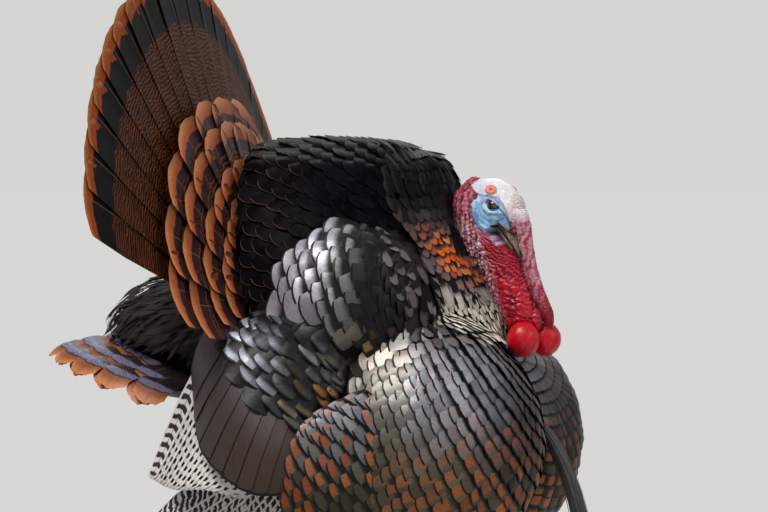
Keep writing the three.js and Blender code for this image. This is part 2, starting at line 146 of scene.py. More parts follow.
def set_colors(mesh, layer, data):
    attribute = mesh.attributes.new(layer, "FLOAT_COLOR", "POINT")
    full = np.ones((len(data), 4), np.float32)
    full[:, :3] = data
    attribute.data.foreach_set("color", full.ravel())


def add_piece(name, mesh, material, slot, *replaced):
    """Puts a mesh into the scene as a piece of the bird's one body."""
    mesh.materials.append(material)
    obj = link(name, mesh)
    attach(obj, "root")
    if replaced:
        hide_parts(*replaced)


def joined(parts):
    """Several (points, faces) as one, with the faces' point numbers moved on."""
    start, moved = 0, []
    for co, faces in parts:
        moved.append(faces + start)
        start += len(co)
    return np.concatenate([co for co, _ in parts]), np.concatenate(moved)


def face_mesh(name, co, faces):
    """A smooth mesh from points in the bird's millimetres and faces of any size."""
    mesh = bpy.data.meshes.new(name)
    mesh.from_pydata(to_frame(co).tolist(), [], [list(map(int, face)) for face in faces])
    shade_smooth(mesh)
    return mesh


def quad_mesh(name, verts, quads, unwrap, values, colors):
    """A mesh of quads from arrays. unwrap, values and colors hold one row for each vertex."""
    mesh = bpy.data.meshes.new(name)
    mesh.vertices.add(len(verts))
    mesh.vertices.foreach_set("co", verts.astype(np.float32).ravel())
    mesh.loops.add(quads.size)
    mesh.loops.foreach_set("vertex_index", quads.astype(np.int32).ravel())
    mesh.polygons.add(len(quads))
    mesh.polygons.foreach_set("loop_start", np.arange(0, quads.size, 4, dtype=np.int32))
    shade_smooth(mesh)
    uv = mesh.uv_layers.new(name="OFBake")
    uv.data.foreach_set("uv", unwrap[quads.ravel()].astype(np.float32).ravel())
    for layer, data in values.items():
        set_values(mesh, layer, data)
    for layer, data in colors.items():
        set_colors(mesh, layer, data)
    mesh.update(calc_edges=True)
    mesh.validate()
    return mesh


def grid_quads(count, rows, cols, flip=False):
    r, c = np.meshgrid(np.arange(rows - 1), np.arange(cols - 1), indexing="ij")
    a = (r * cols + c).ravel()
    quad = np.stack([a, a + 1, a + cols + 1, a + cols], 1)
    if flip:
        quad = quad[:, ::-1]
    starts = np.arange(count) * rows * cols
    return (starts[:, None, None] + quad[None]).reshape(-1, 4)


class Coat:
    """Many vanes gathered into one mesh. Each vane is a grid of points with its own markings."""

    def __init__(self, name, slot, material):
        self.name, self.slot, self.material = name, slot, material
        self.verts, self.quads, self.patches = [], [], []
        self.values = {key: [] for key in ("across", "from_tip", "row", "spot")}
        self.colors = {"tint": [], "accent": []}
        self.total = 0

    def add(self, points, across, from_tip, tint, patch, accent=None, row=None, spot=None,
            side=LEFT, patch_size=0.003):
        """points is (vanes, rows, cols, 3). patch holds each root's place on the skin's unwrap.

        A vane is one open sheet of faces. across and from_tip are in metres, and row counts the
        rows of feathers back from the tip."""
        count, rows, cols, _ = points.shape
        points = points * vec(1, side, 1)
        self.quads.append(grid_quads(count, rows, cols, flip=side == RIGHT) + self.total)
        self.verts.append(points.reshape(-1, 3))
        self.total += count * rows * cols

        def fill(data):
            data = np.zeros(1) if data is None else np.asarray(data, float)
            while data.ndim < 3:
                data = data[..., None]
            return np.broadcast_to(data, (count, rows, cols)).ravel()

        def fill_color(data):
            data = np.asarray(data, float)
            if data.ndim == 1:
                data = data[None]
            if data.ndim == 2:
                data = data[:, None, None]
            return np.broadcast_to(data, (count, rows, cols, 3)).reshape(-1, 3)

        for key, data in zip(self.values, (across, from_tip, row, spot)):
            self.values[key].append(fill(data))
        self.colors["tint"].append(fill_color(tint))
        self.colors["accent"].append(fill_color(tint if accent is None else accent))
        grid_u = np.linspace(0, 1, cols)[None, None, :]
        grid_v = np.linspace(0, 1, rows)[None, :, None]
        size = np.broadcast_to(np.asarray(patch_size, float), (2,))
        uv = np.stack(np.broadcast_arrays(
            patch[:, 0][:, None, None] + (grid_u - 0.5) * size[0],
            patch[:, 1][:, None, None] + (grid_v - 0.5) * size[1]), -1)
        self.patches.append(np.broadcast_to(uv, (count, rows, cols, 2)).reshape(-1, 2))

    def build(self, *replaced):
        mesh = quad_mesh(
            self.name, to_frame(np.concatenate(self.verts)), np.concatenate(self.quads),
            clip01(np.concatenate(self.patches)),
            {k: np.concatenate(v) for k, v in self.values.items()},
            {k: np.concatenate(v) for k, v in self.colors.items()})
        add_piece(self.name, mesh, self.material, self.slot, *replaced)


# ------------------------------------------------------------------ node materials
class Nodes:
    """Short names for building one material's node tree."""

    def __init__(self, name):
        self.material = bpy.data.materials.new(name)
        self.material.use_nodes = True
        self.tree = self.material.node_tree
        self.shader = self.tree.nodes["Principled BSDF"]

    def new(self, kind, **settings):
        node = self.tree.nodes.new(kind)
        for key, value in settings.items():
            setattr(node, key, value)
        return node

    def wire(self, value, socket):
        if isinstance(value, bpy.types.NodeSocket):
            self.tree.links.new(value, socket)
        elif value is not None:
            if hasattr(socket.default_value, "__len__") and not hasattr(value, "__len__"):
                value = [value] * len(socket.default_value)
            if hasattr(value, "__len__") and len(value) == 3 and len(socket.default_value) == 4:
                value = (*value, 1.0)
            socket.default_value = value

    def wired(self, node, *values):
        """The first output of a node whose inputs take the values in turn."""
        for value, socket in zip(values, node.inputs):
            self.wire(value, socket)
        return node.outputs[0]

    def math(self, operation, a, b=None, c=None, clamp=False):
        return self.wired(self.new("ShaderNodeMath", operation=operation, use_clamp=clamp), a, b, c)

    def add(self, a, b):
        return self.math("ADD", a, b)

    def sub(self, a, b, clamp=False):
        return self.math("SUBTRACT", a, b, clamp=clamp)

    def mul(self, a, b, clamp=False):
        return self.math("MULTIPLY", a, b, clamp=clamp)

    def abs(self, a):
        return self.math("ABSOLUTE", a)

    def ramp(self, value, start, end, low=0.0, high=1.0):
        node = self.new("ShaderNodeMapRange", interpolation_type="SMOOTHSTEP")
        return self.wired(node, value, start, end, low, high)

    def mix(self, factor, a, b, blend="MIX"):
        node = self.new("ShaderNodeMix", data_type="RGBA", blend_type=blend)
        self.wire(factor, node.inputs["Factor"])
        first, second = (s for s in node.inputs if s.type == "RGBA")
        self.wire(a, first)
        self.wire(b, second)
        return next(s for s in node.outputs if s.type == "RGBA")

    def attribute(self, name, output="Fac"):
        return self.new("ShaderNodeAttribute", attribute_name=name).outputs[output]

    def color_attribute(self, name):
        return self.attribute(name, "Color")

    def object_place(self):
        return self.new("ShaderNodeTexCoord").outputs["Object"]

    def combine(self, x, y, z=0.0):
        return self.wired(self.new("ShaderNodeCombineXYZ"), x, y, z)

    def set(self, node, **inputs):
        for key, value in inputs.items():
            self.wire(value, node.inputs[key.replace("_", " ")])
        return node.outputs

    def noise(self, vector, scale, detail=3.0):
        node = self.new("ShaderNodeTexNoise")
        return self.set(node, Vector=vector, Scale=scale, Detail=detail, Roughness=0.55)["Fac"]

    def cells(self, vector, scale):
        return self.set(self.new("ShaderNodeTexVoronoi"), Vector=vector, Scale=scale)["Distance"]

    def bump(self, height, strength, distance):
        node = self.new("ShaderNodeBump")
        outputs = self.set(node, Strength=strength, Distance=distance, Height=height)
        self.wire(outputs[0], self.shader.inputs["Normal"])

    def finish(self, **inputs):
        self.set(self.shader, **inputs)
        return self.material


def rgb(r, g, b):
    """A colour as it looks on screen, from 0 to 255, turned into the linear one that shaders use."""
    c = vec(r, g, b) / 255
    return np.where(c < 0.04045, c / 12.92, ((c + 0.055) / 1.055) ** 2.4)


BLACK = rgb(9, 8, 9)
LINE = rgb(190, 180, 165)


def barbs(n, across, from_tip, fine=1000.0, seed=0.0):
    """Fine streaks that run outwards from the shaft and towards the tip, as barbs do."""
    outward = n.abs(across)
    slant = n.add(from_tip, n.mul(outward, 0.9))
    place = n.combine(n.mul(outward, 60.0), n.mul(slant, fine), seed)
    return n.noise(place, 1.0, detail=2.0)


def between(n, value, start, end, soft):
    """1 where the value lies between start and end, with soft borders."""
    rise = n.ramp(value, start - soft, start + soft)
    fall = n.ramp(value, end - soft, end + soft, 1.0, 0.0)
    return n.mul(rise, fall)


def contour_plumage(name, gloss=0.34, metal=0.5, edge=0.0011, pale_line=0.0, dark_base_and_shade_from=0.62,
                    dark_base_and_shade_to=1.05, block=(0.0016, 0.85), spec=0.2, halved=True, line_accent=False):
    """Body feathers: a sheen over the open part, a dark rim at the tip and a dark base, partly painted
    shade where the next row covers it.

    pale_line is the strength of a line inside the rim. The accent colour fills the block between
    block[0] metres from the tip and block[1] rows, on one half of the feather or on both. With
    line_accent it colours the line instead. Lengths are in metres."""
    n = Nodes(name)
    across, from_tip, row = n.attribute("across"), n.attribute("from_tip"), n.attribute("row")
    tint, accent = n.color_attribute("tint"), n.color_attribute("accent")
    spot = n.attribute("spot")
    place = n.object_place()
    streaks = barbs(n, across, from_tip)
    drift = n.sub(n.noise(place, 320.0, detail=2.0), 0.5)
    row_w = n.add(row, n.mul(drift, 0.25))
    color = tint
    if not line_accent:
        half = n.ramp(n.add(across, n.mul(drift, 0.004)), -0.0012, 0.0006, 0.0 if halved else 1.0)
        inside = n.mul(n.ramp(from_tip, block[0], block[0] * 1.5),
                       n.ramp(row_w, block[1] - 0.2, block[1], 1.0, 0.0))
        color = n.mix(n.mul(n.mul(half, inside), spot, clamp=True), tint, accent)
    color = n.mix(n.ramp(streaks, 0.38, 0.72, 0.0, 0.3), color, BLACK)
    # darker towards the base where the next row covers it: partly the feather's own dark base, partly
    # painted shade
    base = n.ramp(row_w, dark_base_and_shade_from, dark_base_and_shade_to)
    color = n.mix(base, color, rgb(16, 14, 15))
    rim_place = n.add(from_tip, n.mul(drift, edge * 0.8))
    if pale_line:
        line = between(n, rim_place, edge * 1.25, edge * 2.0, edge * 0.3)
        if line_accent:
            color = n.mix(n.mul(line, n.mul(spot, pale_line)), color, accent)
        else:
            color = n.mix(n.mul(line, pale_line), color, LINE)
    rim = n.ramp(rim_place, edge, edge * 1.4, 1.0, 0.0)
    color = n.mix(rim, color, BLACK)
    covered = n.math("MAXIMUM", rim, base)
    metallic = n.mul(n.sub(1.0, covered, clamp=True), metal)
    n.bump(streaks, 0.4, 0.0007)
    return n.finish(Base_Color=color, Metallic=metallic, Specular_IOR_Level=spec,
                    Roughness=n.add(gloss, n.mul(streaks, 0.14)))


def shafted(n, color, across, wide=0.0009, tone=(150, 120, 90), strength=0.8):
    shaft = n.ramp(n.abs(across), wide * 0.5, wide, strength, 0.0)
    return n.mix(shaft, color, rgb(*tone))


def quill_start(name, fine=900.0):
    n = Nodes(name)
    across, from_tip = n.attribute("across"), n.attribute("from_tip")
    streaks = barbs(n, across, from_tip, fine)
    wobble = n.sub(n.noise(n.object_place(), 95.0, detail=3.0), 0.5)
    return n, across, from_tip, streaks, wobble


def bars(n, along, period, share=0.5, soft=0.18):
    """0 to 1 bands that repeat every `period` metres. share is how much of each is 1."""
    turn = n.math("FRACT", n.math("DIVIDE", along, period))
    distance = n.abs(n.sub(turn, 0.5))
    return n.ramp(distance, share / 2 - soft, share / 2 + soft, 1.0, 0.0)


def tail_material():
    """Rust tip, black band, then dark brown with fine wavy rust bars."""
    n, across, from_tip, streaks, wobble = quill_start("tail_plumage")
    edge = n.add(from_tip, n.mul(wobble, 0.006))
    along = n.add(from_tip, n.mul(n.abs(across), 0.2))
    along = n.add(along, n.mul(wobble, 0.011))
    wavy = bars(n, along, 0.0049, 0.46, 0.15)
    patchy = n.ramp(n.noise(n.object_place(), 60.0, detail=4.0), 0.3, 0.62)
    inner = n.mix(n.mul(wavy, n.math("MULTIPLY_ADD", patchy, 0.5, 0.5)),
                  rgb(17, 11, 9), rgb(108, 58, 32))
    band = n.mix(n.ramp(streaks, 0.4, 0.7), rgb(18, 18, 22), rgb(8, 8, 10))
    tip = n.mix(n.ramp(edge, 0.0, 0.012), rgb(184, 118, 68), rgb(146, 68, 28))
    tip = n.mix(n.ramp(streaks, 0.45, 0.75, 0.0, 0.55), tip, rgb(96, 44, 18))
    color = n.mix(n.ramp(edge, 0.059, 0.064), band, inner)
    color = n.mix(n.ramp(edge, 0.0185, 0.0215), tip, color)
    color = n.mix(n.ramp(streaks, 0.5, 0.8, 0.0, 0.35), color, BLACK)
    color = shafted(n, color, across, 0.0008, (126, 92, 66), 0.7)
    n.bump(streaks, 0.4, 0.0006)
    return n.finish(Base_Color=color, Roughness=0.5, Specular_IOR_Level=0.04)


def tail_covert_material():
    """Broad orange tips over a dark band and barred bases, with a coppery sheen."""
    n, across, from_tip, streaks, wobble = quill_start("tail_covert_plumage")
    spot = n.attribute("spot")
    edge = n.add(from_tip, n.mul(wobble, 0.008))
    along = n.add(from_tip, n.mul(wobble, 0.01))
    wavy = bars(n, along, 0.0065, 0.4, 0.16)
    inner = n.mix(n.mul(wavy, 0.75), rgb(34, 24, 26), rgb(128, 74, 52))
    band = n.mix(n.ramp(streaks, 0.35, 0.7), rgb(62, 40, 42), rgb(14, 12, 14))
    tip = n.mix(n.ramp(edge, 0.0, 0.016), rgb(214, 138, 92), rgb(172, 86, 48))
    tip = n.mix(n.ramp(streaks, 0.45, 0.78, 0.0, 0.5), tip, rgb(104, 46, 22))
    color = n.mix(n.ramp(edge, 0.028, 0.034), band, inner)
    color = n.mix(n.ramp(edge, 0.0165, 0.0195), tip, color)
    color = n.mix(n.mul(spot, n.ramp(edge, 0.0, 0.03, 1.0, 0.0)), color,
                  rgb(12, 10, 11))
    color = shafted(n, color, across, 0.0008, (150, 110, 80), 0.5)
    n.bump(streaks, 0.45, 0.0008)
    return n.finish(Base_Color=color, Roughness=0.45, Specular_IOR_Level=0.12)


def undertail_material():
    """Chestnut tip, thin black line, blue-violet band, black base."""
    n, across, from_tip, streaks, wobble = quill_start("undertail_plumage")
    edge = n.add(from_tip, n.mul(wobble, 0.004))
    tip = n.mix(n.ramp(edge, 0.0, 0.01), rgb(186, 116, 66), rgb(128, 66, 34))
    band = n.mix(n.ramp(streaks, 0.35, 0.7), rgb(116, 112, 142), rgb(66, 62, 88))
    inner = n.mix(n.ramp(streaks, 0.4, 0.7), rgb(38, 32, 34), rgb(12, 10, 11))
    color = n.mix(n.ramp(edge, 0.0235, 0.027), band, inner)
    color = n.mix(n.ramp(edge, 0.0135, 0.0155), rgb(14, 12, 14), color)
    color = n.mix(n.ramp(edge, 0.0115, 0.0135), tip, color)
    color = n.mix(n.ramp(streaks, 0.5, 0.8, 0.0, 0.35), color, BLACK)
    color = shafted(n, color, across, 0.0009, (120, 84, 60), 0.5)
    n.bump(streaks, 0.45, 0.0008)
    return n.finish(Base_Color=color, Roughness=0.42, Specular_IOR_Level=0.2)


def panel_material():
    """The bronze-brown wing patch: glossy, with a black line round each feather's end."""
    n, across, from_tip, streaks, wobble = quill_start("panel_plumage", 760.0)
    tint = n.color_attribute("tint")
    edge = n.add(from_tip, n.mul(wobble, 0.002))
    color = n.mix(n.ramp(streaks, 0.35, 0.72, 0.0, 0.3), tint, rgb(26, 19, 16))
    color = n.mix(n.ramp(edge, 0.045, 0.075, 0.0, 0.45), color, rgb(60, 51, 54))
    color = n.mix(n.ramp(edge, 0.0024, 0.0038, 1.0, 0.0), color, rgb(10, 9, 9))
    side = n.ramp(n.abs(n.attribute("spot")), 0.9, 0.98, 0.0, 0.22)
    color = n.mix(side, color, rgb(10, 9, 9))
    color = shafted(n, color, across, 0.0006, (40, 28, 22), 0.25)
    n.bump(streaks, 0.4, 0.0006)
    return n.finish(Base_Color=color, Roughness=0.4, Specular_IOR_Level=0.22)


def barred_material(name, period, share, slant, tip=0.004, margin=0.7, mottle=0.006):
    """White and blackish bars across a flight feather, each feather's a little out of step.

    period, tip and mottle are in metres: of a pair of bars, of the white end, and of the waver."""
    n, across, from_tip, streaks, wobble = quill_start(name, 700.0)
    along = n.add(from_tip, n.mul(n.abs(across), slant))
    along = n.add(along, n.mul(wobble, mottle))
    along = n.add(along, n.mul(n.sub(streaks, 0.5), 0.002))
    along = n.add(along, n.mul(n.attribute("row"), period))
    band = bars(n, along, period, share, 0.07)
    open_edge = n.ramp(n.abs(n.attribute("spot")), margin, margin + 0.06, 1.0, 0.0)
    band = n.mul(band, open_edge)
    color = n.mix(band, rgb(222, 216, 212), rgb(24, 19, 20))
    if tip:
        color = n.mix(n.ramp(from_tip, tip * 0.7, tip * 1.2, 1.0, 0.0), color, rgb(206, 200, 196))
    color = n.mix(n.ramp(streaks, 0.5, 0.8, 0.0, 0.25), color, rgb(60, 50, 48))
    color = shafted(n, color, across, 0.0007, (40, 32, 30), 0.8)
    n.bump(streaks, 0.4, 0.0006)
    return n.finish(Base_Color=color, Roughness=0.5, Specular_IOR_Level=0.25)


BREAST_COAT = contour_plumage("breast_plumage", metal=0.35, edge=0.0017, dark_base_and_shade_from=0.75,
                              dark_base_and_shade_to=1.15, block=(0.002, 0.9))
MANTLE_COAT = contour_plumage("mantle_plumage", gloss=0.26, metal=0.0, edge=0.0004, pale_line=0.9,
                              dark_base_and_shade_from=0.9, dark_base_and_shade_to=1.4, spec=0.01, line_accent=True)
NECK_COAT = contour_plumage("neck_plumage", gloss=0.4, metal=0.12, spec=0.06, edge=0.0003,
                            dark_base_and_shade_from=0.9, dark_base_and_shade_to=1.4, block=(0.001, 0.9), halved=False)
SCAPULAR_COAT = contour_plumage("scapular_plumage", gloss=0.3, metal=0.4, edge=0.002,
                                dark_base_and_shade_from=0.5, dark_base_and_shade_to=1.1)
COVERT_COAT = contour_plumage("covert_plumage", gloss=0.3, metal=0.4, edge=0.0018,
                              dark_base_and_shade_from=0.5, halved=False)
VENT_COAT = contour_plumage("vent_down", gloss=0.6, metal=0.0, edge=0.0001, dark_base_and_shade_from=2.0,
                            dark_base_and_shade_to=3.0, spec=0.1)
THIGH_COAT = contour_plumage("thigh_plumage", gloss=0.5, metal=0.1, edge=0.0008, pale_line=0.2)
TAIL_COAT = tail_material()
TAIL_COVERT_COAT = tail_covert_material()
UNDERTAIL_COAT = undertail_material()
PANEL_COAT = panel_material()
SECONDARY_COAT = barred_material("secondary_plumage", 0.0118, 0.5, 0.35)
PRIMARY_COAT = barred_material("primary_plumage", 0.0085, 0.62, 0.2, tip=0, margin=0.86, mottle=0.016)
# ------------------------------------------------------------------ guide surface
FLESH = ["neck_feathered", "breast_left", "breast_right", "trunk", "vent_fluff", "thigh_left",
         "thigh_right", "wing_left_coverts", "wing_left_scapulars", "wing_right_coverts",
         "wing_right_scapulars"]


def mesh_arrays(mesh):
    """A mesh's points, the normals there and its triangles."""
    co = np.zeros(len(mesh.vertices) * 3)
    mesh.vertices.foreach_get("co", co)
    normals = np.zeros(len(mesh.vertices) * 3)
    mesh.vertex_normals.foreach_get("vector", normals)
    mesh.calc_loop_triangles()
    tris = np.zeros(len(mesh.loop_triangles) * 3, np.int32)
    mesh.loop_triangles.foreach_get("vertices", tris)
    return co.reshape(-1, 3), normals.reshape(-1, 3), tris.reshape(-1, 3)


def node_arrays(name):
    """A solid's points in the bird's millimetres, and its triangles."""
    co, _, tris = mesh_arrays(nodes[name].data)
    return from_frame(co), tris


def remeshed(name, parts, voxel, rounds):
    """The arrays of one smooth closed mesh around several closed meshes, in the parts' own units.

    voxel is the size of its cells, and rounds the number of times it is relaxed."""
    mesh = bpy.data.meshes.new(name)
    co, faces = joined(parts)
    mesh.from_pydata(co.tolist(), [], faces.tolist())
    obj = link(name, mesh)
    remesh = obj.modifiers.new("remesh", "REMESH")
    remesh.mode = "VOXEL"
    remesh.voxel_size = voxel
    relax = obj.modifiers.new("relax", "SMOOTH")
    relax.factor = 0.5
    relax.iterations = rounds
    graph = bpy.context.evaluated_depsgraph_get()
    result = bpy.data.meshes.new_from_object(obj.evaluated_get(graph))
    bpy.data.objects.remove(obj)
    bpy.data.meshes.remove(mesh)
    arrays = mesh_arrays(result)
    bpy.data.meshes.remove(result)
    return arrays


class Surface:
    """A closed surface that points can be dropped onto, in the bird's millimetres."""

    def __init__(self, co, normals, tris):
        self.co, self.normals, self.tris = co, normals, tris
        self.tree = BVHTree.FromPolygons(co.tolist(), tris.tolist())

    def nearest(self, points):
        """The nearest points on the surface, and the smooth normals there."""
        shape = points.shape
        flat = points.reshape(-1, 3)
        hit = np.empty_like(flat)
        face = np.empty(len(flat), int)
        find = self.tree.find_nearest
        for i, p in enumerate(flat.tolist()):
            place, _, index, _ = find(p)
            hit[i] = place
            face[i] = index
        return hit.reshape(shape), self.normal_at(hit, face).reshape(shape)

    def normal_at(self, hit, face):
        a, b, c = (self.co[self.tris[face, k]] for k in range(3))
        n = np.cross(b - a, c - a)
        area = np.maximum((n * n).sum(-1), 1e-12)
        wa = (np.cross(b - hit, c - hit) * n).sum(-1) / area
        wb = (np.cross(c - hit, a - hit) * n).sum(-1) / area
        wc = 1 - wa - wb
        na, nb, nc = (self.normals[self.tris[face, k]] for k in range(3))
        return unit(wa[:, None] * na + wb[:, None] * nb + wc[:, None] * nc)

    def cast(self, start, ways):
        """Where rays from start leave the surface. A miss gives not-a-number."""
        starts = np.broadcast_to(start, ways.shape)
        hit = np.full(ways.shape, np.nan)
        for i, (s, w) in enumerate(zip(starts.tolist(), ways.tolist())):
            place = self.tree.ray_cast(s, w)[0]
            if place is not None:
                hit[i] = place
        return hit


node_trees = [BVHTree.FromPolygons(*(part.tolist() for part in node_arrays(name))) for name in FLESH]
OWNER_REACH = 60


def owner(points):
    """The flesh node that each surface point belongs to."""
    result = []
    for p in points.tolist():
        far = [tree.find_nearest(p, OWNER_REACH)[3] for tree in node_trees]
        result.append(FLESH[int(np.argmin([1e9 if d is None else d for d in far]))])
    return np.array(result)


def smooth_surface(names, voxel, rounds):
    return Surface(*remeshed("guide", [node_arrays(k) for k in names], voxel, rounds))


guide = smooth_surface(FLESH, 4.5, 10)


# ------------------------------------------------------------------ contour feathers
ROWS = vec(0, 0.3, 0.55, 0.7, 0.82, 0.91, 0.97, 1.0)


def each(value, count):
    """One number for each vane, shaped to meet (vanes, rows, cols)."""
    return (np.asarray(value, float) * np.ones(count))[:, None, None]


def lay_feathers(coat, tips, flow, width, length, step, tint, side=LEFT, surface=guide, *,
                 patch, accent=None, spot=None, rows=ROWS, cols=7, lift=1.8, camber=0.09, square=0.3,
                 proud=0.0, jitter=1.0, lean=0.05):
    """Lays a feather behind each tip point, back against the flow, on the guide surface.

    width, length and step are in millimetres for each feather. step is how much of it the next row
    leaves open, so the base of a feather lies `lift` deeper for each row that covers it. proud
    raises the whole of it. camber and square round it across and at its end, and lean is how far
    its left edge stands above its right one, all as shares of its width."""
    count = len(tips)
    wide, long, step, lift, proud = (each(value, count) for value in (width, length, step, lift, proud))
    _, normal = surface.nearest(tips)
    flow = unit(flow - (flow * normal).sum(-1, keepdims=True) * normal)
    turn = rng.normal(0, 0.05 * jitter, count)[:, None]
    across = np.cross(normal, flow)
    flow = unit(flow * np.cos(turn) + across * np.sin(turn))
    across = np.cross(normal, flow)
    # a coarse net on the surface, then smooth interpolation between its points
    net_u = vec(-1, 0, 1)
    net_s = vec(0, 0.4, 0.75, 1)
    net = (tips[:, None, None]
           + across[:, None, None] * (net_u[None, None, :, None] * wide[..., None] / 2)
           - flow[:, None, None] * ((1 - net_s)[None, :, None, None] * long[..., None]))
    base, up = surface.nearest(net)
    u = np.linspace(-1, 1, cols)
    outline = np.interp(rows, [0, 0.45, 0.8, 1.0], [0.42, 0.86, 1.0, 0.86])
    drop = square * wide * (np.abs(u) ** 2.4)[None, None, :] * (rows ** 2)[None, :, None]
    s_real = rows[None, :, None] - drop / long
    u_real = u[None, None, :] * outline[None, :, None] * np.ones((count, 1, 1))
    points = tensor_at(base, net_u, net_s, u_real, s_real)
    ups = unit(tensor_at(up, net_u, net_s, u_real, s_real))
    tilt = each(lean + rng.normal(0, 0.03, count) * jitter, count)
    height = (proud - lift * (1 - s_real) * (long / step) - camber * wide * u_real ** 2
              + tilt * wide * u_real * 0.5 + each(rng.normal(0, 0.25 * jitter, count), count))
    points = points + ups * height[..., None]
    from_tip = (1 - rows)[None, :, None] * long * MM * np.ones((1, 1, cols))
    across_m = u_real * wide / 2 * MM
    row = from_tip / (step * MM)
    coat.add(points, across_m, from_tip, tint, patch, accent, row, spot=spot, side=side)


def tensor_at(values, net_u, net_s, u, s):
    """Smooth interpolation of a net (vanes, s, u, 3) at each (u, s) of (vanes, rows, cols)."""
    result = np.zeros(u.shape + (3,))
    for i, a in enumerate(net_s):
        ws = np.ones(s.shape)
        for j, b in enumerate(net_s):
            if i != j:
                ws = ws * (s - b) / (a - b)
        for k, c in enumerate(net_u):
            wu = np.ones(u.shape)
            for m, d in enumerate(net_u):
                if k != m:
                    wu = wu * (u - d) / (c - d)
            result += (ws * wu)[..., None] * values[:, i, k][:, None, None]
    return result


def rings(pole, toward, reach, turns, columns, stagger, last_pole):
    """Rays in staggered rings about a pole: (ring, column) directions, flow and unwrap.

    reach is the first and last polar angle in degrees, and turns the number of rings. With
    last_pole, the rings swing round to centre on that."""
    t = np.arange(turns) / (turns - 1)
    p = unit(lerp(unit(pole), unit(pole if last_pole is None else last_pole), t[:, None]))
    a = unit(vec(*toward) - (p @ vec(*toward))[:, None] * p)
    b = np.cross(p, a)
    polar = np.radians(lerp(reach[0], reach[1], t))
    ring, column = np.meshgrid(np.arange(turns), np.arange(columns), indexing="ij")
    around = np.radians(-180 + 360 / columns * (column + stagger * (ring % 2) + 0.25))
    theta = polar[ring]
    p = p[ring]
    outward = np.cos(around)[..., None] * a[ring] + np.sin(around)[..., None] * b[ring]
    ways = np.cos(theta)[..., None] * p + np.sin(theta)[..., None] * outward
    away = -np.sin(theta)[..., None] * p + np.cos(theta)[..., None] * outward
    patch = np.stack([0.5 + 0.47 * theta / polar[-1] * np.cos(around),
                      0.5 + 0.47 * theta / polar[-1] * np.sin(around)], -1)
    return ways, away, patch


def spacing(tips, stagger=0.5):
    """Distance to the next column and to the next ring, for a (ring, column) net of points."""
    across = np.linalg.norm(tips - np.roll(tips, -1, axis=1), axis=-1)
    along = np.linalg.norm(np.diff(tips, axis=0, append=tips[-1:] * 2 - tips[-2:-1]), axis=-1)
    middle = np.nanmedian(across, axis=1, keepdims=True)
    across = np.where(np.isnan(across) | (across > 1.6 * middle), middle, across)
    # the next ring is part of a column over, so the step along is what is left of the distance
    step = np.sqrt(np.maximum(along ** 2 - (across * stagger) ** 2, 4.0))
    step_middle = np.nanmedian(step, axis=1, keepdims=True)
    step = np.where(np.isnan(step), step_middle, np.clip(step, 0.6 * step_middle, 1.6 * step_middle))
    return across, step


# ------------------------------------------------------------------ body plumage
def pick(tips, away, patch, allowed, where=None, stagger=0.5):
    """The net points that lie on the allowed flesh nodes, with their spacing and flow."""
    across, step = spacing(tips, stagger)
    there = ~np.isnan(tips[..., 0])
    at = tips[there]
    good = np.isin(owner(at), allowed)
    if where is not None:
        good &= where(at)
    ring = np.broadcast_to(np.arange(tips.shape[0])[:, None], there.shape)
    fields = {"at": tips, "flow": away, "wide": across, "step": step, "patch": patch, "ring": ring}
    return {key: value[there][good] for key, value in fields.items()}


def polar_tract(center, pole, toward, reach, turns, columns, allowed, where=None, stagger=0.5,
                last_pole=None):
    """A tract whose rows are rings about a pole, seen from a centre inside the body."""
    ways, away, patch = rings(pole, toward, reach, turns, columns, stagger, last_pole)
    tips = guide.cast(center, ways.reshape(-1, 3)).reshape(ways.shape)
    return pick(tips, away, patch, allowed, where, stagger)


def tube_tract(axis, steps, columns, allowed, where=None):
    """A tract whose rows are rings round a curved axis. The flow runs along it."""
    t = np.linspace(0, 1, steps)
    center = axis(t)
    along = unit(axis(t + 0.01) - axis(t - 0.01))
    side = unit(np.cross(along, vec(0, 1, 0)))
    other = np.cross(along, side)
    ring, column = np.meshgrid(np.arange(steps), np.arange(columns), indexing="ij")
    around = (column + 0.5 * (ring % 2)) / columns * 2 * math.pi
    ways = (np.cos(around)[..., None] * side[:, None] + np.sin(around)[..., None] * other[:, None])
    starts = np.broadcast_to(center[:, None], ways.shape)
    tips = guide.cast(starts.reshape(-1, 3), ways.reshape(-1, 3)).reshape(ways.shape)
    away = np.broadcast_to(along[:, None], ways.shape)
    patch = np.stack([(around / 6.2832) % 1 * 0.94 + 0.03, 0.03 + 0.94 * t[ring]], -1)
    return pick(tips, away, patch, allowed, where)


def tone(low, high, share):
    return lerp(low, high, np.asarray(share)[..., None])


def vary(color, amount):
    return color * rng.uniform(1 - amount, 1 + amount, (len(color), 1))


def draw(points, start=0.0, end=1.0):
    """A random number for each point."""
    return rng.uniform(start, end, len(points))


FOREARM = [(-148, 168, 412), (-105, 186, 372), (-60, 192, 326), (-20, 180, 288)]


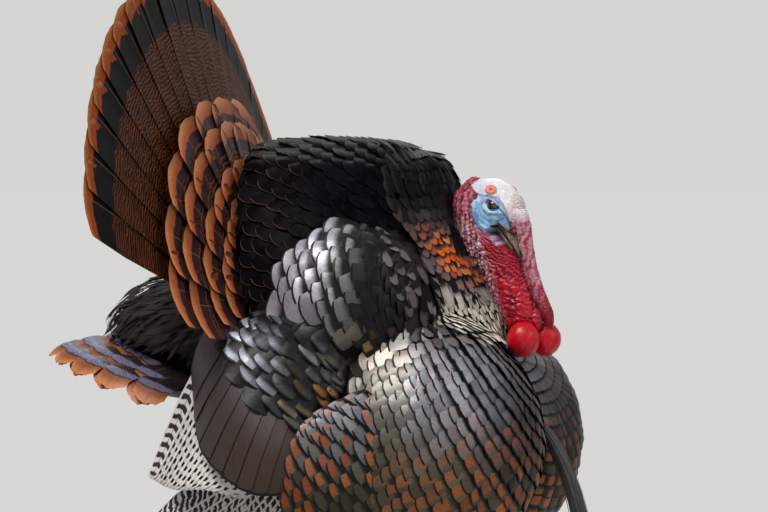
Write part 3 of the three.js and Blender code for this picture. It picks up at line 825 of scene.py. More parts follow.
def breast_feathers(side):
    """Columns of long narrow scales that spread from below the throat over one lobe."""
    coat = Coat(f"breast_feathers_{WORD[side]}", "breast_plumage", BREAST_COAT)
    f = polar_tract(vec(BREAST_X, 76, 288), (0.55, -0.40, 0.68), (-1, 0.3, -0.2), (6, 158), 34, 40,
                    ["breast_left"], lambda p: p[:, 1] > 1, stagger=0.4, last_pole=(1, 0.1, 0.05))
    at = f["at"]
    x, _, z = at.T
    blotch = wave_noise(at, 55, 3)
    # high lightens the upper rear of the lobe to silver: partly the feathers' own silver tips, partly a
    # painted highlight from the light above
    high = smooth(z, 270, 390) * smooth(-x, -185, -60)
    front = smooth(x, 128, 178)
    tint = tone(rgb(74, 66, 46), rgb(166, 162, 156), high * 0.9 + 0.06)
    tint = tone(tint, rgb(132, 134, 144), smooth(x, 20, 80) * smooth(z, 240, 330) * 0.8)
    # painted shade: the front of the lobe darkened
    tint = tone(tint, rgb(26, 22, 22), front * 0.92)
    tint = vary(tint * (1 + 0.3 * blotch)[:, None], 0.32)
    glow = (smooth(-z, -285, -205) * 0.8 + smooth(x, 90, 140) * smooth(-z, -345, -270) * 0.6
            + smooth(-x, 40, 85) * smooth(-z, -330, -250) * 0.7 + 0.3 * blotch)
    # less copper toward the front, as painted shade
    glow = clip01(glow * (1 - 0.45 * smooth(x, 150, 185)))
    glow = glow * (draw(at) < 0.72) * draw(at, 0.5, 1.0)
    # deeper red toward the front, as painted shade
    accent = tone(rgb(172, 98, 52), rgb(150, 52, 28), draw(at) * 0.6 + front * 0.4)
    proud = 1.0 + 10.0 * smooth(-x, 0, 60)
    lay_feathers(coat, at, f["flow"], np.clip(f["wide"] * 1.45, 5, 38), np.clip(f["step"] * 3.2, 20, 48),
                 f["step"], tint, side, accent=accent, spot=glow, patch=f["patch"], cols=9, lift=2.0,
                 camber=0.09, square=0.12, lean=0.08, proud=proud)
    coat.build()


def on_cape(p):
    """The part of the body that the neck's plumes hang over."""
    x, z = p[:, 0], p[:, 2]
    edge = np.interp(z, [350, 386, 440, 511, 560, 600], [72, 58, 38, 17, 8, 4])
    return (x > edge) & (z > 384)


def neck_feathers():
    """Long dark strands down the arched neck, with copper scales and a pale bristly hem."""
    coat = Coat("neck_plumes", "neck_plumage", NECK_COAT)
    axis = catmull([(16, 0, 622), (26, 0, 578), (30, 0, 526), (38, 0, 484), (52, 0, 444), (66, -2, 402),
                    (78, -4, 350)])
    under = ["neck_feathered", "trunk", "wing_left_scapulars", "breast_left", "wing_right_scapulars",
             "breast_right"]
    for strands in (True, False):
        steps, columns = (24, 54) if strands else (44, 96)
        f = tube_tract(axis, steps, columns, under, on_cape)
        hem = smooth(-f["at"][:, 2], -450, -404) * (1 - smooth(np.abs(f["at"][:, 1]), 108, 124))
        kept = hem < 0.6 if strands else hem > 0.35
        f = {key: value[kept] for key, value in f.items()}
        hem, at = hem[kept], f["at"]
        x, y, z = at.T
        blotch = wave_noise(at, 22, 5)
        strand = wave_noise(at * (1, 1, 0.12), 7, 15)
        down, across = (x - 77) * 0.73 - (z - 478) * 0.68, (x - 77) * 0.68 + (z - 478) * 0.73
        patch_at = np.exp(-((down / 34) ** 2 + (across / 11) ** 2)) * (1 - smooth(np.abs(y), 80, 100))
        tint = tone(rgb(6, 5, 7), rgb(90, 82, 86), smooth(-z, -545, -470))
        tint = tone(tint, rgb(98, 92, 92), smooth(-x, -60, -25) * smooth(-z, -540, -470) * 0.8)
        tint = tone(tint, rgb(200, 192, 178), hem * 0.95)
        tint = tone(tint, rgb(96, 48, 30), clip01(patch_at * 1.4) * 0.7)
        tint = vary(tint * (1 + 0.5 * strand * hem)[:, None], 0.3)
        accent = tone(rgb(232, 142, 44), rgb(190, 70, 28), draw(at) ** 0.7)
        spot = clip01(patch_at * (1.25 + 0.5 * blotch)) * (draw(at) < 0.8)
        wide = np.minimum(f["wide"] * 1.35, 12.0 if strands else 7.5) * (1 - 0.45 * hem)
        nape = (1 - smooth(np.hypot(x - 87, y * 0.9), 30, 48)) * smooth(z, 470, 500)
        at = at + unit(f["flow"]) * draw(at, -3, 3)[:, None]
        lay_feathers(coat, at, f["flow"], wide, (40.0 if strands else 34.0) + 6 * hem, f["step"], tint,
                     LEFT, lift=1.2, camber=0.14, square=0.7, cols=5, accent=accent, spot=spot,
                     patch=f["patch"], rows=vec(0, 0.35, 0.65, 0.85, 0.95, 1.0), jitter=1.4,
                     proud=2.5 + hem * 4 - 8 * nape)
    coat.build()


def bare_back(p):
    """Off the neck's plumes, and on a wing only where it faces the body, below."""
    inner = (p[:, 2] < 405) & (np.abs(p[:, 1]) < 172)
    return ~on_cape(p) & (inner | ~np.char.endswith(owner(p), "coverts"))


def mantle_feathers():
    """Black glossy feathers of the back and rump, in rows that spread from behind the neck."""
    coat = Coat("mantle_feathers", "mantle_plumage", MANTLE_COAT)
    f = polar_tract(vec(-50, 0, 420), (0.82, 0, 0.57), (0, 0, 1), (16, 177), 45, 42,
                    ["trunk", "neck_feathered", "wing_left_coverts", "wing_right_coverts"], bare_back)
    at = f["at"]
    x, _, z = at.T
    rear = smooth(-x, 62, 120) * smooth(z, 330, 420)
    low = smooth(-z, -400, -330)
    line = np.maximum(0.3 + 0.7 * rear * draw(at, 0.25, 1), 0.9 * low)
    tint = tone(rgb(5, 5, 7), rgb(14, 14, 19), draw(at) ** 2)
    tint = tone(tint, rgb(70, 56, 48), low * draw(at, 0.7, 1))
    accent = tone(tone(rgb(58, 58, 66), rgb(140, 98, 78), rear), rgb(150, 122, 96), low)
    lay_feathers(coat, at, f["flow"] - vec(0, 0, 0.2), f["wide"] * 1.5, 60.0, f["step"], tint, LEFT,
                 lift=1.8, camber=0.07, cols=9, accent=accent, spot=line,
                 patch=f["patch"], square=0.24, lean=0.1, proud=1.0, jitter=1.6)
    coat.build()


def scapular_feathers(side):
    """Broad crescents behind the neck, stacked in columns: silver outside, partly a painted sky
    reflection, and dark further in, partly painted shade beneath the neck's plumes.
    """
    coat = Coat(f"scapular_feathers_{WORD[side]}", "scapular_plumage", SCAPULAR_COAT)
    f = polar_tract(vec(-24, 100, 432), (0.97, 0.16, -0.1), (-1, 0, 0.4), (16, 150), 20, 15,
                    ["wing_left_scapulars"], lambda p: (p[:, 1] > 20) & (p[:, 0] < 52))
    at, ring = f["at"], f["ring"]
    x, _, z = at.T
    rim = smooth(-x, 0, 46)
    # silver tint: partly the feathers' own pale colour, partly a painted sky reflection, brighter higher
    # up as a painted highlight
    silver_and_reflection = rim * np.where(ring % 2 == 0, 1.0, 0.8) * (0.6 + 0.4 * smooth(z, 380, 470))
    tint = tone(rgb(22, 21, 21), rgb(172, 169, 180), silver_and_reflection)
    tint = tone(tint, rgb(128, 134, 124), smooth(-x, 60, 20) * smooth(-x, 0, 30) * 0.6)
    low = smooth(-z, -425, -395)
    tint = tone(tint, rgb(62, 58, 48), low * 0.7)
    # darker toward the neck: painted shade beneath its plumes
    tint = tone(tint, rgb(20, 18, 18), smooth(x, -22, 6) * 0.85)
    tint = vary(tint, 0.32)
    spot = smooth(-z, -405, -380) * smooth(x, -40, -5) * draw(at, 0.2, 1)
    wide = np.clip(f["wide"] * 1.5, 8, 38 - 14 * low)
    flow = unit(f["flow"]) * (1 - 0.75 * low[:, None]) + vec(-0.7, 0.1, -0.1) * low[:, None]
    lay_feathers(coat, at, flow - vec(0, 0, 0.35), wide, np.clip(f["step"] * 3.6, 30, 50 - 12 * low),
                 f["step"], tint, side, lift=2.4, camber=0.08, square=0.09, cols=11,
                 accent=tone(rgb(214, 120, 44), rgb(190, 160, 90), draw(at)), spot=spot,
                 patch=f["patch"], proud=1.5 + 3.5 * rim + 1.0 * (ring % 2 == 0) * rim, lean=0.06)
    coat.build()


wing_guide = smooth_surface(["wing_left_coverts", "wing_left_panel", "wing_left_scapulars"], 5.0, 12)


def covert_feathers(side):
    """The coverts that lie from the shoulder down over the wing's edge, in rows along the panel."""
    coat = Coat(f"covert_feathers_{WORD[side]}", "covert_plumage", COVERT_COAT)
    edge_at = catmull(FOREARM)
    down = unit(vec(-0.60, 0.12, -0.79))
    rows_up, columns, open_part = 15, 7, 11.5
    row, column = np.meshgrid(np.arange(rows_up), np.arange(columns), indexing="ij")
    u = (column + 0.45 * (row % 2)) / (columns - 1) * 1.16 - 0.1
    over = np.interp(u, [-0.1, 0.0, 0.2, 0.5, 0.8, 1.0], [6, 14, 29, 34, 30, 12]) - open_part * row
    over = over + rng.uniform(-1.5, 1.5, u.shape)
    tips = edge_at(u) + vec(0, 14, 0) + down * over[..., None]
    tips, _ = wing_guide.nearest(tips)
    across, _ = spacing(tips)
    patch = np.stack([0.04 + 0.92 * (u + 0.2) / 1.4, 0.04 + 0.92 * row / rows_up], -1).reshape(-1, 2)
    at = tips.reshape(-1, 3)
    keep = (owner(at) != "wing_left_scapulars") & (at[:, 1] > 60)
    at, patch = at[keep], patch[keep]
    row, u, wide = (grid.reshape(-1)[keep] for grid in (row, u, across))
    wide = np.clip(wide, 12, 30)
    # silver on the rear columns of a few rows: partly the feathers' own pale colour, partly a painted
    # sky reflection
    silver_and_reflection = np.interp(row, [0, 1, 2, 3, 4, 6, 10, 14], [0.03, 0.35, 0.9, 0.55, 0.2, 0.12, 0.1, 0.3])
    silver_and_reflection = silver_and_reflection * smooth(-u, -0.85, -0.3) + 0.12 * rng.normal(0, 1, len(at)) * (row > 0)
    tint = tone(rgb(14, 14, 18), rgb(176, 180, 194), clip01(silver_and_reflection))
    tint = tone(tint, rgb(74, 72, 58), smooth(u, 0.35, 0.8) * (row > 0) * 0.6)
    tint = vary(tint, 0.25)
    spot = smooth(u, 0.62, 0.9) * (row > 0) * (row < 6) * draw(at) ** 0.7
    accent = tone(rgb(190, 92, 36), rgb(190, 158, 76), draw(at))
    lay_feathers(coat, at, np.tile(down, (len(at), 1)), wide * 1.45, 40.0, open_part, tint, side,
                 wing_guide, accent=accent, spot=spot, patch=patch, cols=11, lift=1.9, camber=0.1,
                 square=0.12, lean=0.1, proud=np.interp(row, [0, 3, 6], [5.0, 5.0, 3.0]), jitter=1.5)
    coat.build()


FLANK = [
    [(10, 182, 345), (12, 196, 300), (10, 190, 245), (2, 154, 190), (-8, 112, 160)],
    [(-20, 196, 330), (-22, 208, 296), (-30, 206, 246), (-38, 176, 194), (-44, 132, 160)],
    [(-44, 206, 314), (-52, 216, 292), (-64, 218, 250), (-76, 200, 204), (-78, 160, 168)],
]


def flank_place(u, v):
    """Where the flank's plumage lies: u from the breast back over the wing's edge, v down."""
    front, middle, rear = [catmull(line)(v) for line in FLANK]
    u = np.asarray(u)[..., None]
    return (front * (1 - u) * (1 - 2 * u) + middle * 4 * u * (1 - u) + rear * u * (2 * u - 1))


def flank_surface():
    u, v = np.meshgrid(np.linspace(-0.7, 1.2, 26), np.linspace(0, 1, 44), indexing="ij")
    co = flank_place(u, v)
    up = unit(np.cross(np.gradient(co, axis=0), np.gradient(co, axis=1)))
    up = up * np.sign(up[..., 1:2])
    quads = grid_quads(1, *u.shape, flip=True)
    tris = np.concatenate([quads[:, [3, 0, 1]], quads[:, [3, 1, 2]]])
    return Surface(co.reshape(-1, 3), up.reshape(-1, 3), tris)


flank_wing = flank_surface()


def flank_feathers(side):
    """Tall crescents of the flank, stacked in columns that lie over the front of the folded wing."""
    coat = Coat(f"flank_feathers_{WORD[side]}", "breast_plumage", BREAST_COAT)
    arcs, blocks = 8, 10
    arc, block = np.meshgrid(np.arange(arcs), np.arange(blocks), indexing="ij")
    u = -0.1 + 1.1 * arc / (arcs - 1) + rng.uniform(-0.02, 0.02, arc.shape)
    v = clip01((block + 0.35 + 0.5 * (arc % 2)) / (blocks + 0.3))
    at = flank_place(u, v).reshape(-1, 3)
    flow = (flank_place(u + 0.05, v + 0.012) - flank_place(u, v)).reshape(-1, 3)
    u, v = u.ravel(), v.ravel()
    low = smooth(v, 0.15, 0.6)
    tint = vary(tone(rgb(118, 116, 120), rgb(70, 66, 50), low), 0.3)
    spot = (0.3 + 0.45 * smooth(v, 0.05, 0.4)) * (draw(at) < 0.6)
    accent = tone(rgb(176, 106, 58), rgb(150, 66, 34), draw(at))
    patch = np.stack([0.05 + 0.9 * (u + 0.1) / 1.1, 0.05 + 0.9 * v], -1)
    lay_feathers(coat, at, flow, 38.0, 42.0, 12.5, tint, side, flank_wing, lift=2.0, camber=0.09,
                 square=0.12, cols=9, accent=accent, spot=spot, patch=patch, lean=0.08, proud=2.0)
    coat.build()


def vent_feathers():
    """Loose black down between the tail coverts and the belly."""
    coat = Coat("vent_down_tufts", "vent_down", VENT_COAT)
    f = polar_tract(vec(-170, 0, 396), (0.9, 0, 0.2), (-1, 0, 0), (40, 172), 34, 60, ["vent_fluff"])
    at = f["at"]
    lay_feathers(coat, at, f["flow"] - vec(0, 0, 0.25), draw(at, 3, 8),
                 draw(at, 22, 40), f["step"], vary(np.tile(rgb(38, 34, 34), (len(at), 1)), 0.5),
                 LEFT, lift=1.2, camber=0.1, square=1.4, cols=3, patch=f["patch"], jitter=4,
                 rows=vec(0, 0.5, 0.8, 1.0), proud=draw(at, -1, 4))
    coat.build()


def thigh_feathers():
    """Short dark feathers down the thighs."""
    coat = Coat("thigh_feathers", "thigh_plumage", THIGH_COAT)
    axis = catmull([(-38, 72, 262), (-48, 70, 206), (-60, 66, 176), (-70, 62, 146)])
    f = tube_tract(axis, 16, 26, ["thigh_left"])
    at = f["at"]
    tint = vary(np.tile(rgb(46, 40, 38), (len(at), 1)), 0.3)
    for side in (LEFT, RIGHT):
        lay_feathers(coat, at, f["flow"], f["wide"] * 1.4, np.full(len(at), 24.0), f["step"], tint,
                     side, lift=1.3, camber=0.12, square=0.5, cols=5, patch=f["patch"])
    coat.build()


for side in (RIGHT, LEFT):
    breast_feathers(side)
    scapular_feathers(side)
    covert_feathers(side)
    flank_feathers(side)
neck_feathers()
mantle_feathers()
vent_feathers()
thigh_feathers()
# ------------------------------------------------------------------ tail and flight feathers
HALF_COLS = vec(0.02, 0.06, 0.2, 0.4, 0.6, 0.8, 0.93, 1)
QUILL_COLS = np.concatenate([-HALF_COLS[::-1], [0], HALF_COLS])
PROFILE = ([0, 0.08, 0.35, 0.8, 1.0], [0.1, 0.3, 0.72, 1.0, 0.94])


def quills(coat, place, at, width, *, seed, rows, tilt, camber, round_off, fray, shaft, tint=BLACK,
           proud=0.0, uneven=0.0, side=LEFT, profile=PROFILE, start=0.0, end=1.0, blunt=2.6):
    """Long feathers laid over a curved plate.

    place(u, v) is the plate: u runs from feather to feather and v from root to tip. `at` is the u
    of each feather, width its widest span in millimetres, and tilt how much each leans on the next,
    as roof tiles do. uneven moves the shaft towards the leading edge. profile gives the width along
    the feather, round_off and blunt shape its end, and fray and shaft are in millimetres. The value
    `spot` holds the place across the vane, from -1 to 1."""
    local = np.random.default_rng(seed)
    count, cols = len(at), len(QUILL_COLS)
    end = np.asarray(end, float) * np.ones(count)
    s = 1 - (1 - np.linspace(0, 1, rows)) ** 1.25
    half = np.interp(s, *profile)[None, :, None] * each(width, count) / 2
    q = QUILL_COLS[None, None, :]
    x = half * (q + uneven * (1 - q * q))
    v_line = lerp(start, end[:, None], s[None])
    u_grid = np.broadcast_to(at[:, None], v_line.shape)
    tiny = 1e-3
    line = place(u_grid, v_line)
    length = np.linalg.norm(np.diff(line, axis=1), axis=-1).sum(1)[:, None, None]
    ragged = local.uniform(0, 1, (count, 1, cols)) * fray * (np.abs(q) > 0.1)
    drop = (round_off * half.max(1)[:, None] * np.abs(q) ** blunt + ragged) * (s ** 5)[None, :, None]
    v = v_line[..., None] - drop / length * (end - start)[:, None, None]
    du = place(at[:, None] + tiny, v_line) - place(at[:, None] - tiny, v_line)
    per_u = np.linalg.norm(du, axis=-1)[..., None] / (2 * tiny)
    u = at[:, None, None] + x / np.maximum(per_u, 8.0)
    base = place(u, v)
    across = place(u + tiny, v) - place(u - tiny, v)
    along = place(u, v + tiny) - place(u, v - tiny)
    normal = unit(np.cross(along, across))
    height = each(proud, count) + tilt * x - camber * half * q ** 2
    height = height + local.normal(0, 0.25, (count, 1, 1)) * s[None, :, None]
    ridge = shaft * (1 - 0.75 * s)[None, :, None] * np.interp(np.abs(q), [0, 0.02, 0.06], [1, 0.7, 0])
    points = base + normal * (height + ridge)[..., None]
    from_tip = (1 - s)[None, :, None] * length * MM * np.ones((1, 1, cols))
    across_m = x * MM * np.ones_like(from_tip)
    n_wide = math.ceil(math.sqrt(count * 4))
    n_high = math.ceil(count / n_wide)
    patch = np.stack([(np.arange(count) % n_wide + 0.5) / n_wide,
                      (np.arange(count) // n_wide + 0.5) / n_high], -1)
    phase = local.uniform(0, 1, (count, 1, 1)) * np.ones_like(from_tip)
    coat.add(points, across_m, from_tip, tint, patch, None, phase,
             spot=np.broadcast_to(q, from_tip.shape), side=side,
             patch_size=(0.9 / n_wide, 0.9 / n_high))


TAIL_ROOT = vec(-146, 0, 413)
TAIL_LEAN = math.radians(16.5)
FAN_SWEEP = 0.15


def fan_plate(radius, side_radius, inner, ahead_root, ahead_tip):
    """The plate of the raised tail. u is the angle from straight up, in radians."""
    def place(u, v):
        u, v = np.broadcast_arrays(np.asarray(u, float), np.asarray(v, float))
        reach = lerp(radius, side_radius, clip01(np.abs(u) / 1.25) ** 2)
        r = lerp(inner, reach, v)
        ahead = lerp(ahead_root, ahead_tip, v)
        way = np.stack([-(math.sin(TAIL_LEAN) * np.cos(u) + FAN_SWEEP * np.sin(u) ** 2), np.sin(u),
                        math.cos(TAIL_LEAN) * np.cos(u)], -1)
        ahead_way = vec(math.cos(TAIL_LEAN), 0, math.sin(TAIL_LEAN))
        return TAIL_ROOT + way * r[..., None] + ahead_way * ahead[..., None]
    return place


def spread(degrees, count):
    return np.radians(np.linspace(-degrees, degrees, count))


def inner_first(at):
    """The places on one half of a fan, from the middle outwards."""
    return at[np.argsort(np.abs(at))]


def tail_feathers():
    coat = Coat("tail_feathers", "tail_plumage", TAIL_COAT)
    at = spread(68.5, 18)
    for half in (-1, 1):
        mine = inner_first(at[at * half > 0])
        quills(coat, fan_plate(402, 416, 30, 0, 0), mine, 92, rows=30, tilt=0.016 * -half, camber=0.03,
               round_off=0.2, fray=1.6, proud=1.2 - 0.28 * np.arange(len(mine)),
               end=1 - 0.003 * np.arange(len(mine)), seed=11 + half, blunt=3.0, shaft=0.7,
               profile=([0, 0.08, 0.35, 0.8, 1.0], [0.1, 0.3, 0.72, 0.98, 1.0]))
    coat.build("tail_fan")


def tail_covert_feathers():
    """Four rows of broad orange-tipped coverts in front of the fan."""
    coat = Coat("tail_covert_feathers", "tail_covert_plumage", TAIL_COVERT_COAT)
    # how far each row reaches in the middle and at the sides, its angle and number of feathers, how
    # far it stands before the fan at root and tip, and a feather's width
    rows = ((258, 266, 82, 11, 23, 15, 92), (226, 238, 84, 12, 27, 21, 78),
            (186, 200, 84, 13, 31, 27, 66), (158, 168, 82, 16, 34, 32, 46))
    for index, (reach, beside, degrees, count, root, tip, wide) in enumerate(rows):
        at = spread(degrees, count)
        place = fan_plate(reach, beside, 60, root, tip)
        local = np.random.default_rng(31 + index)
        for half in (-1, 1):
            mine = inner_first(at[at * half > (0 if half < 0 else -1e-6)])
            mine = mine + local.normal(0, 0.014, len(mine))
            quills(coat, place, mine, wide * local.uniform(0.92, 1.08, len(mine)), rows=16,
                   tilt=0.03 * -half, camber=0.08, round_off=0.24, fray=1.8, shaft=0.6,
                   proud=0.8 - 0.15 * np.arange(len(mine)), end=local.uniform(0.95, 1.0, len(mine)),
                   seed=41 + index, blunt=2.4,
                   profile=([0, 0.1, 0.4, 0.8, 1.0], [0.3, 0.5, 0.85, 1.0, 1.0]))
    coat.build("tail_upper_coverts")


UNDER_ROOT = vec(-196, 0, 367)


def undertail_plate(reach, raised):
    """The plate under the tail: it spreads level in the middle, droops at the sides and curls down."""
    def place(u, v):
        u, v = np.broadcast_arrays(np.asarray(u, float), np.asarray(v, float))
        r = lerp(20, reach, v)
        curl = 6 * v ** 4 + 16 * np.clip((v - 0.84) / 0.16, 0, 1.2) ** 2
        return np.stack([UNDER_ROOT[0] - r * np.cos(u), -0.78 * r * np.sin(u),
                         UNDER_ROOT[2] + (30 - 66 * (1 - np.cos(u))) * v - curl + raised], -1)
    return place


def undertail_feathers():
    coat = Coat("undertail_feathers", "undertail_plumage", UNDERTAIL_COAT)
    # each row's reach, height over the plate, angle, number of feathers and their width
    rows = ((196, 3, 76, 11, 44), (172, 8, 70, 10, 42), (144, 12, 62, 9, 40), (188, -3, 72, 10, 44))
    for index, (reach, raised, degrees, count, wide) in enumerate(rows):
        at = spread(degrees, count)
        for half in (-1, 1):
            mine = inner_first(at[at * half > -1e-6] if half > 0 else at[at * half > 1e-6])
            quills(coat, undertail_plate(reach, raised), mine, wide, rows=16, tilt=0.05 * -half,
                   camber=0.1 if raised > 0 else -0.1, round_off=0.3, fray=1.5, shaft=0.5,
                   proud=-0.2 * np.arange(len(mine)), seed=61 + index)
    coat.build("tail_under_coverts")


def wing_plate(roots, tips, bulge, shift=0.0):
    root_at, tip_at = catmull(roots), catmull(tips)

    def place(u, v):
        u, v = np.broadcast_arrays(np.asarray(u, float), np.asarray(v, float))
        point = lerp(root_at(u), tip_at(u), v[..., None])
        return point + vec(0, 1, 0) * (bulge * np.sin(math.pi * clip01(v)) + shift)[..., None]
    return place


def panel_feathers(side):
    """The bronze greater coverts: broad, close together, cut off round below."""
    coat = Coat(f"panel_feathers_{WORD[side]}", "panel_plumage", PANEL_COAT)
    tips = [(-186, 158, 345), (-166, 194, 280), (-118, 216, 240), (-78, 214, 232), (-40, 194, 244)]
    at = np.linspace(0.0, 0.83, 11)
    tint = vary(tone(rgb(58, 48, 47), rgb(62, 46, 32), at), 0.06)
    quills(coat, wing_plate(FOREARM, tips, 14, 2.5), at, 40, tint=tint, tilt=-0.03, camber=0.03,
           round_off=0.16, fray=0.5, side=side, rows=22, seed=71, start=-0.12, shaft=0.3,
           profile=([0, 0.1, 0.5, 0.85, 1.0], [0.6, 0.8, 1.0, 1.0, 0.98]))
    coat.build(f"wing_{WORD[side]}_panel")


def secondary_feathers(side):
    coat = Coat(f"secondary_feathers_{WORD[side]}", "secondary_plumage", SECONDARY_COAT)
    roots = vec(*FOREARM) + (-6, -16, -4)
    tips = [(-240, 134, 246), (-204, 170, 236), (-156, 194, 236), (-104, 198, 222)]
    quills(coat, wing_plate(roots, tips, 8), np.linspace(0.0, 0.86, 19), 26, tilt=-0.08, camber=0.03,
           round_off=0.4, fray=0.8, side=side, rows=26, seed=81, uneven=-0.15, shaft=0.5,
           profile=([0, 0.15, 0.5, 0.85, 1.0], [0.5, 0.7, 1.0, 0.95, 0.8]))
    coat.build(f"wing_{WORD[side]}_secondaries")


def primary_feathers(side):
    coat = Coat(f"primary_feathers_{WORD[side]}", "primary_plumage", PRIMARY_COAT)
    roots = [(-62, 168, 308), (-46, 172, 300), (-32, 172, 293), (-20, 170, 286)]
    tips = [(-243, 140, 200), (-244, 158, 124), (-226, 174, 56), (-178, 186, 7)]
    quills(coat, wing_plate(roots, tips, 6), np.linspace(0.02, 0.88, 12), 36, tilt=-0.07, camber=0.03,
           round_off=0.9, fray=0.8, side=side, rows=34, seed=91, uneven=-0.3, shaft=0.7,
           profile=([0, 0.15, 0.5, 0.85, 1.0], [0.35, 0.6, 0.95, 0.85, 0.45]))
    coat.build(f"wing_{WORD[side]}_primaries")


tail_feathers()
tail_covert_feathers()
undertail_feathers()
for side in (RIGHT, LEFT):
    panel_feathers(side)
    secondary_feathers(side)
    primary_feathers(side)


# ------------------------------------------------------------------ head shape
HEAD_AT = vec(112, -6, 540)
YAW = math.radians(28)
AHEAD = vec(math.cos(YAW), -math.sin(YAW), 0)
ASIDE = vec(math.sin(YAW), math.cos(YAW), 0)
UP = vec(0, 0, 1)


def head_point(ahead, left, up):
    ahead, left, up = (np.asarray(value, float)[..., None] for value in (ahead, left, up))
    return HEAD_AT + ahead * AHEAD + left * ASIDE + up * UP


def head_line(points):
    """Points given ahead, left and up of the head's middle, in the bird's own axes."""
    return head_point(*vec(*points).T)


def head_place(points):
    """How far ahead, left and up of the head's middle each point lies."""
    d = points - HEAD_AT
    return d @ AHEAD, d @ ASIDE, d @ UP


def ball(center, radii, turn=0.0, rings_count=24):
    """A closed ellipsoid in the head's own axes, tipped forward by `turn` degrees."""
    bm = bmesh.new()
    bmesh.ops.create_uvsphere(bm, u_segments=rings_count * 2, v_segments=rings_count, radius=1)
    co = np.array([v.co[:] for v in bm.verts]) * vec(*radii)
    bmesh.ops.triangulate(bm, faces=bm.faces)
    tris = np.array([[v.index for v in f.verts] for f in bm.faces])
    bm.free()
    t = math.radians(turn)
    a = co[:, 0] * math.cos(t) + co[:, 2] * math.sin(t)
    u = -co[:, 0] * math.sin(t) + co[:, 2] * math.cos(t)
    return head_point(center[0] + a, center[1] + co[:, 1], center[2] + u), tris


def sweep_faces(steps, around):
    """The quads of a tube of rings, and the triangles that close it on its two last points."""
    quads, caps = [], []
    for j in range(around):
        k = (j + 1) % around
        caps += [(steps * around, k, j), (steps * around + 1, (steps - 1) * around + j,
                                          (steps - 1) * around + k)]
    for i in range(steps - 1):
        for j in range(around):
            k = (j + 1) % around
            quads.append((i * around + j, i * around + k, (i + 1) * around + k, (i + 1) * around + j))
    return quads, caps


def tube(points, radii, around=28, steps=60):
    """A closed round tube through points. radii holds two for each point: across and deep."""
    line = catmull(points)
    size = catmull([(a, b, 0) for a, b in radii])
    t = np.linspace(0, 1, steps)
    center = line(t)
    along = unit(line(t + 0.01) - line(t - 0.01))
    side = unit(np.cross(along, np.cross(ASIDE, along)))
    deep = np.cross(along, side)
    r = np.maximum(size(t), 0.3)
    turn = np.arange(around) / around * 2 * math.pi
    ring = (center[:, None] + side[:, None] * (np.cos(turn)[None, :, None] * r[:, :1, None])
            + deep[:, None] * (np.sin(turn)[None, :, None] * r[:, 1:2, None]))
    quads, caps = sweep_faces(steps, around)
    tris = [tri for a, b, c, d in quads for tri in ((a, b, c), (a, c, d))]
    return np.concatenate([ring.reshape(-1, 3), center[:1], center[-1:]]), np.array(tris + caps)


def cells(points, size, seed=0):
    """Cellular noise: distance to the nearest and second nearest random point, in cell sizes."""
    p = points / size
    base = np.floor(p).astype(int)
    first = np.full(len(p), 9.0)
    second = np.full(len(p), 9.0)
    for dx in (-1, 0, 1):
        for dy in (-1, 0, 1):
            for dz in (-1, 0, 1):
                cell = base + (dx, dy, dz)
                h = (cell[:, 0] * 73856093) ^ (cell[:, 1] * 19349663) ^ (cell[:, 2] * 83492791) ^ seed
                jitter = np.stack([((h >> k) & 1023) / 1023.0 for k in (0, 7, 13)], -1)
                far = np.linalg.norm(cell + jitter - p, axis=1)
                second = np.minimum(second, np.maximum(first, far))
                first = np.minimum(first, far)
    return first, second


def beads(points, size, seed=0, round_off=0.62):
    first, _ = cells(points, size, seed)
    return clip01(1 - (first / round_off) ** 2)


NECK_LINE = [(89, 0, 569), (88, 0, 563), (87, -0.5, 553), (87, -1, 540), (98, -3, 506), (115, -6, 480),
             (125, -9, 459), (134, -12, 437), (142, -15, 419), (149, -18, 402)]
NECK_SIZE = [(6, 8), (12, 15), (18, 23), (23, 30), (24, 31), (22, 27), (22, 24.5), (22, 23), (20, 19),
             (14, 12)]
SNOOD_LOCAL = [(31, 0, -6), (34.5, 0, -14), (37.5, 2, -31), (39, 4, -49), (43, 8, -72), (49.5, 11, -92),
               (54, 14.5, -107), (55.5, 18.5, -119), (54.5, 21.5, -128)]
SNOOD_SIZE = [(7.6, 8), (8.2, 8.5), (7.4, 7.8), (7, 7.2), (5.8, 6.4), (5.6, 6.2), (6.2, 6.6), (6.2, 6.6),
              (5, 5)]
BALL_AT, BALL_ASIDE = vec(155.8, -20, 396.4), 17.2
BALL_RADII = ((RIGHT, 17.9), (LEFT, 17.2))
BALL_HIGH = 1.06
SKULL_TURN = 40
EYE_LOCAL = (11.0, 18.6, 1.0)
EYE_TILT = math.radians(24)
EYE_OPEN = (7.6, 4.7)


def head_parts():
    skull, tris = ball((0, 0, -2), (37, 24, 27), SKULL_TURN)
    a, l, u = head_place(skull)
    turn = math.radians(SKULL_TURN)
    front = a * math.cos(turn) - (u + 2) * math.sin(turn)
    skull = head_point(a, l * (1 - 0.26 * smooth(front, 13, 34)), u)
    parts = [
        (skull, tris),
        ball((10, 0, -11), (18, 12, 14), 45),
        ball((-8, 0, -22), (16, 17, 14), 20),
        ball((-18, 0, 2), (18, 21, 25), 20),
        tube(NECK_LINE, NECK_SIZE, 40),
        ball((43, 9, -122), (10, 9, 13)),
        tube(head_line(SNOOD_LOCAL), SNOOD_SIZE),
    ]
    for side, radius in BALL_RADII:
        co, tris = ball((0, 0, 0), (radius, radius, radius * BALL_HIGH))
        parts.append((co - HEAD_AT + BALL_AT + ASIDE * (BALL_ASIDE * side), tris))
    return parts


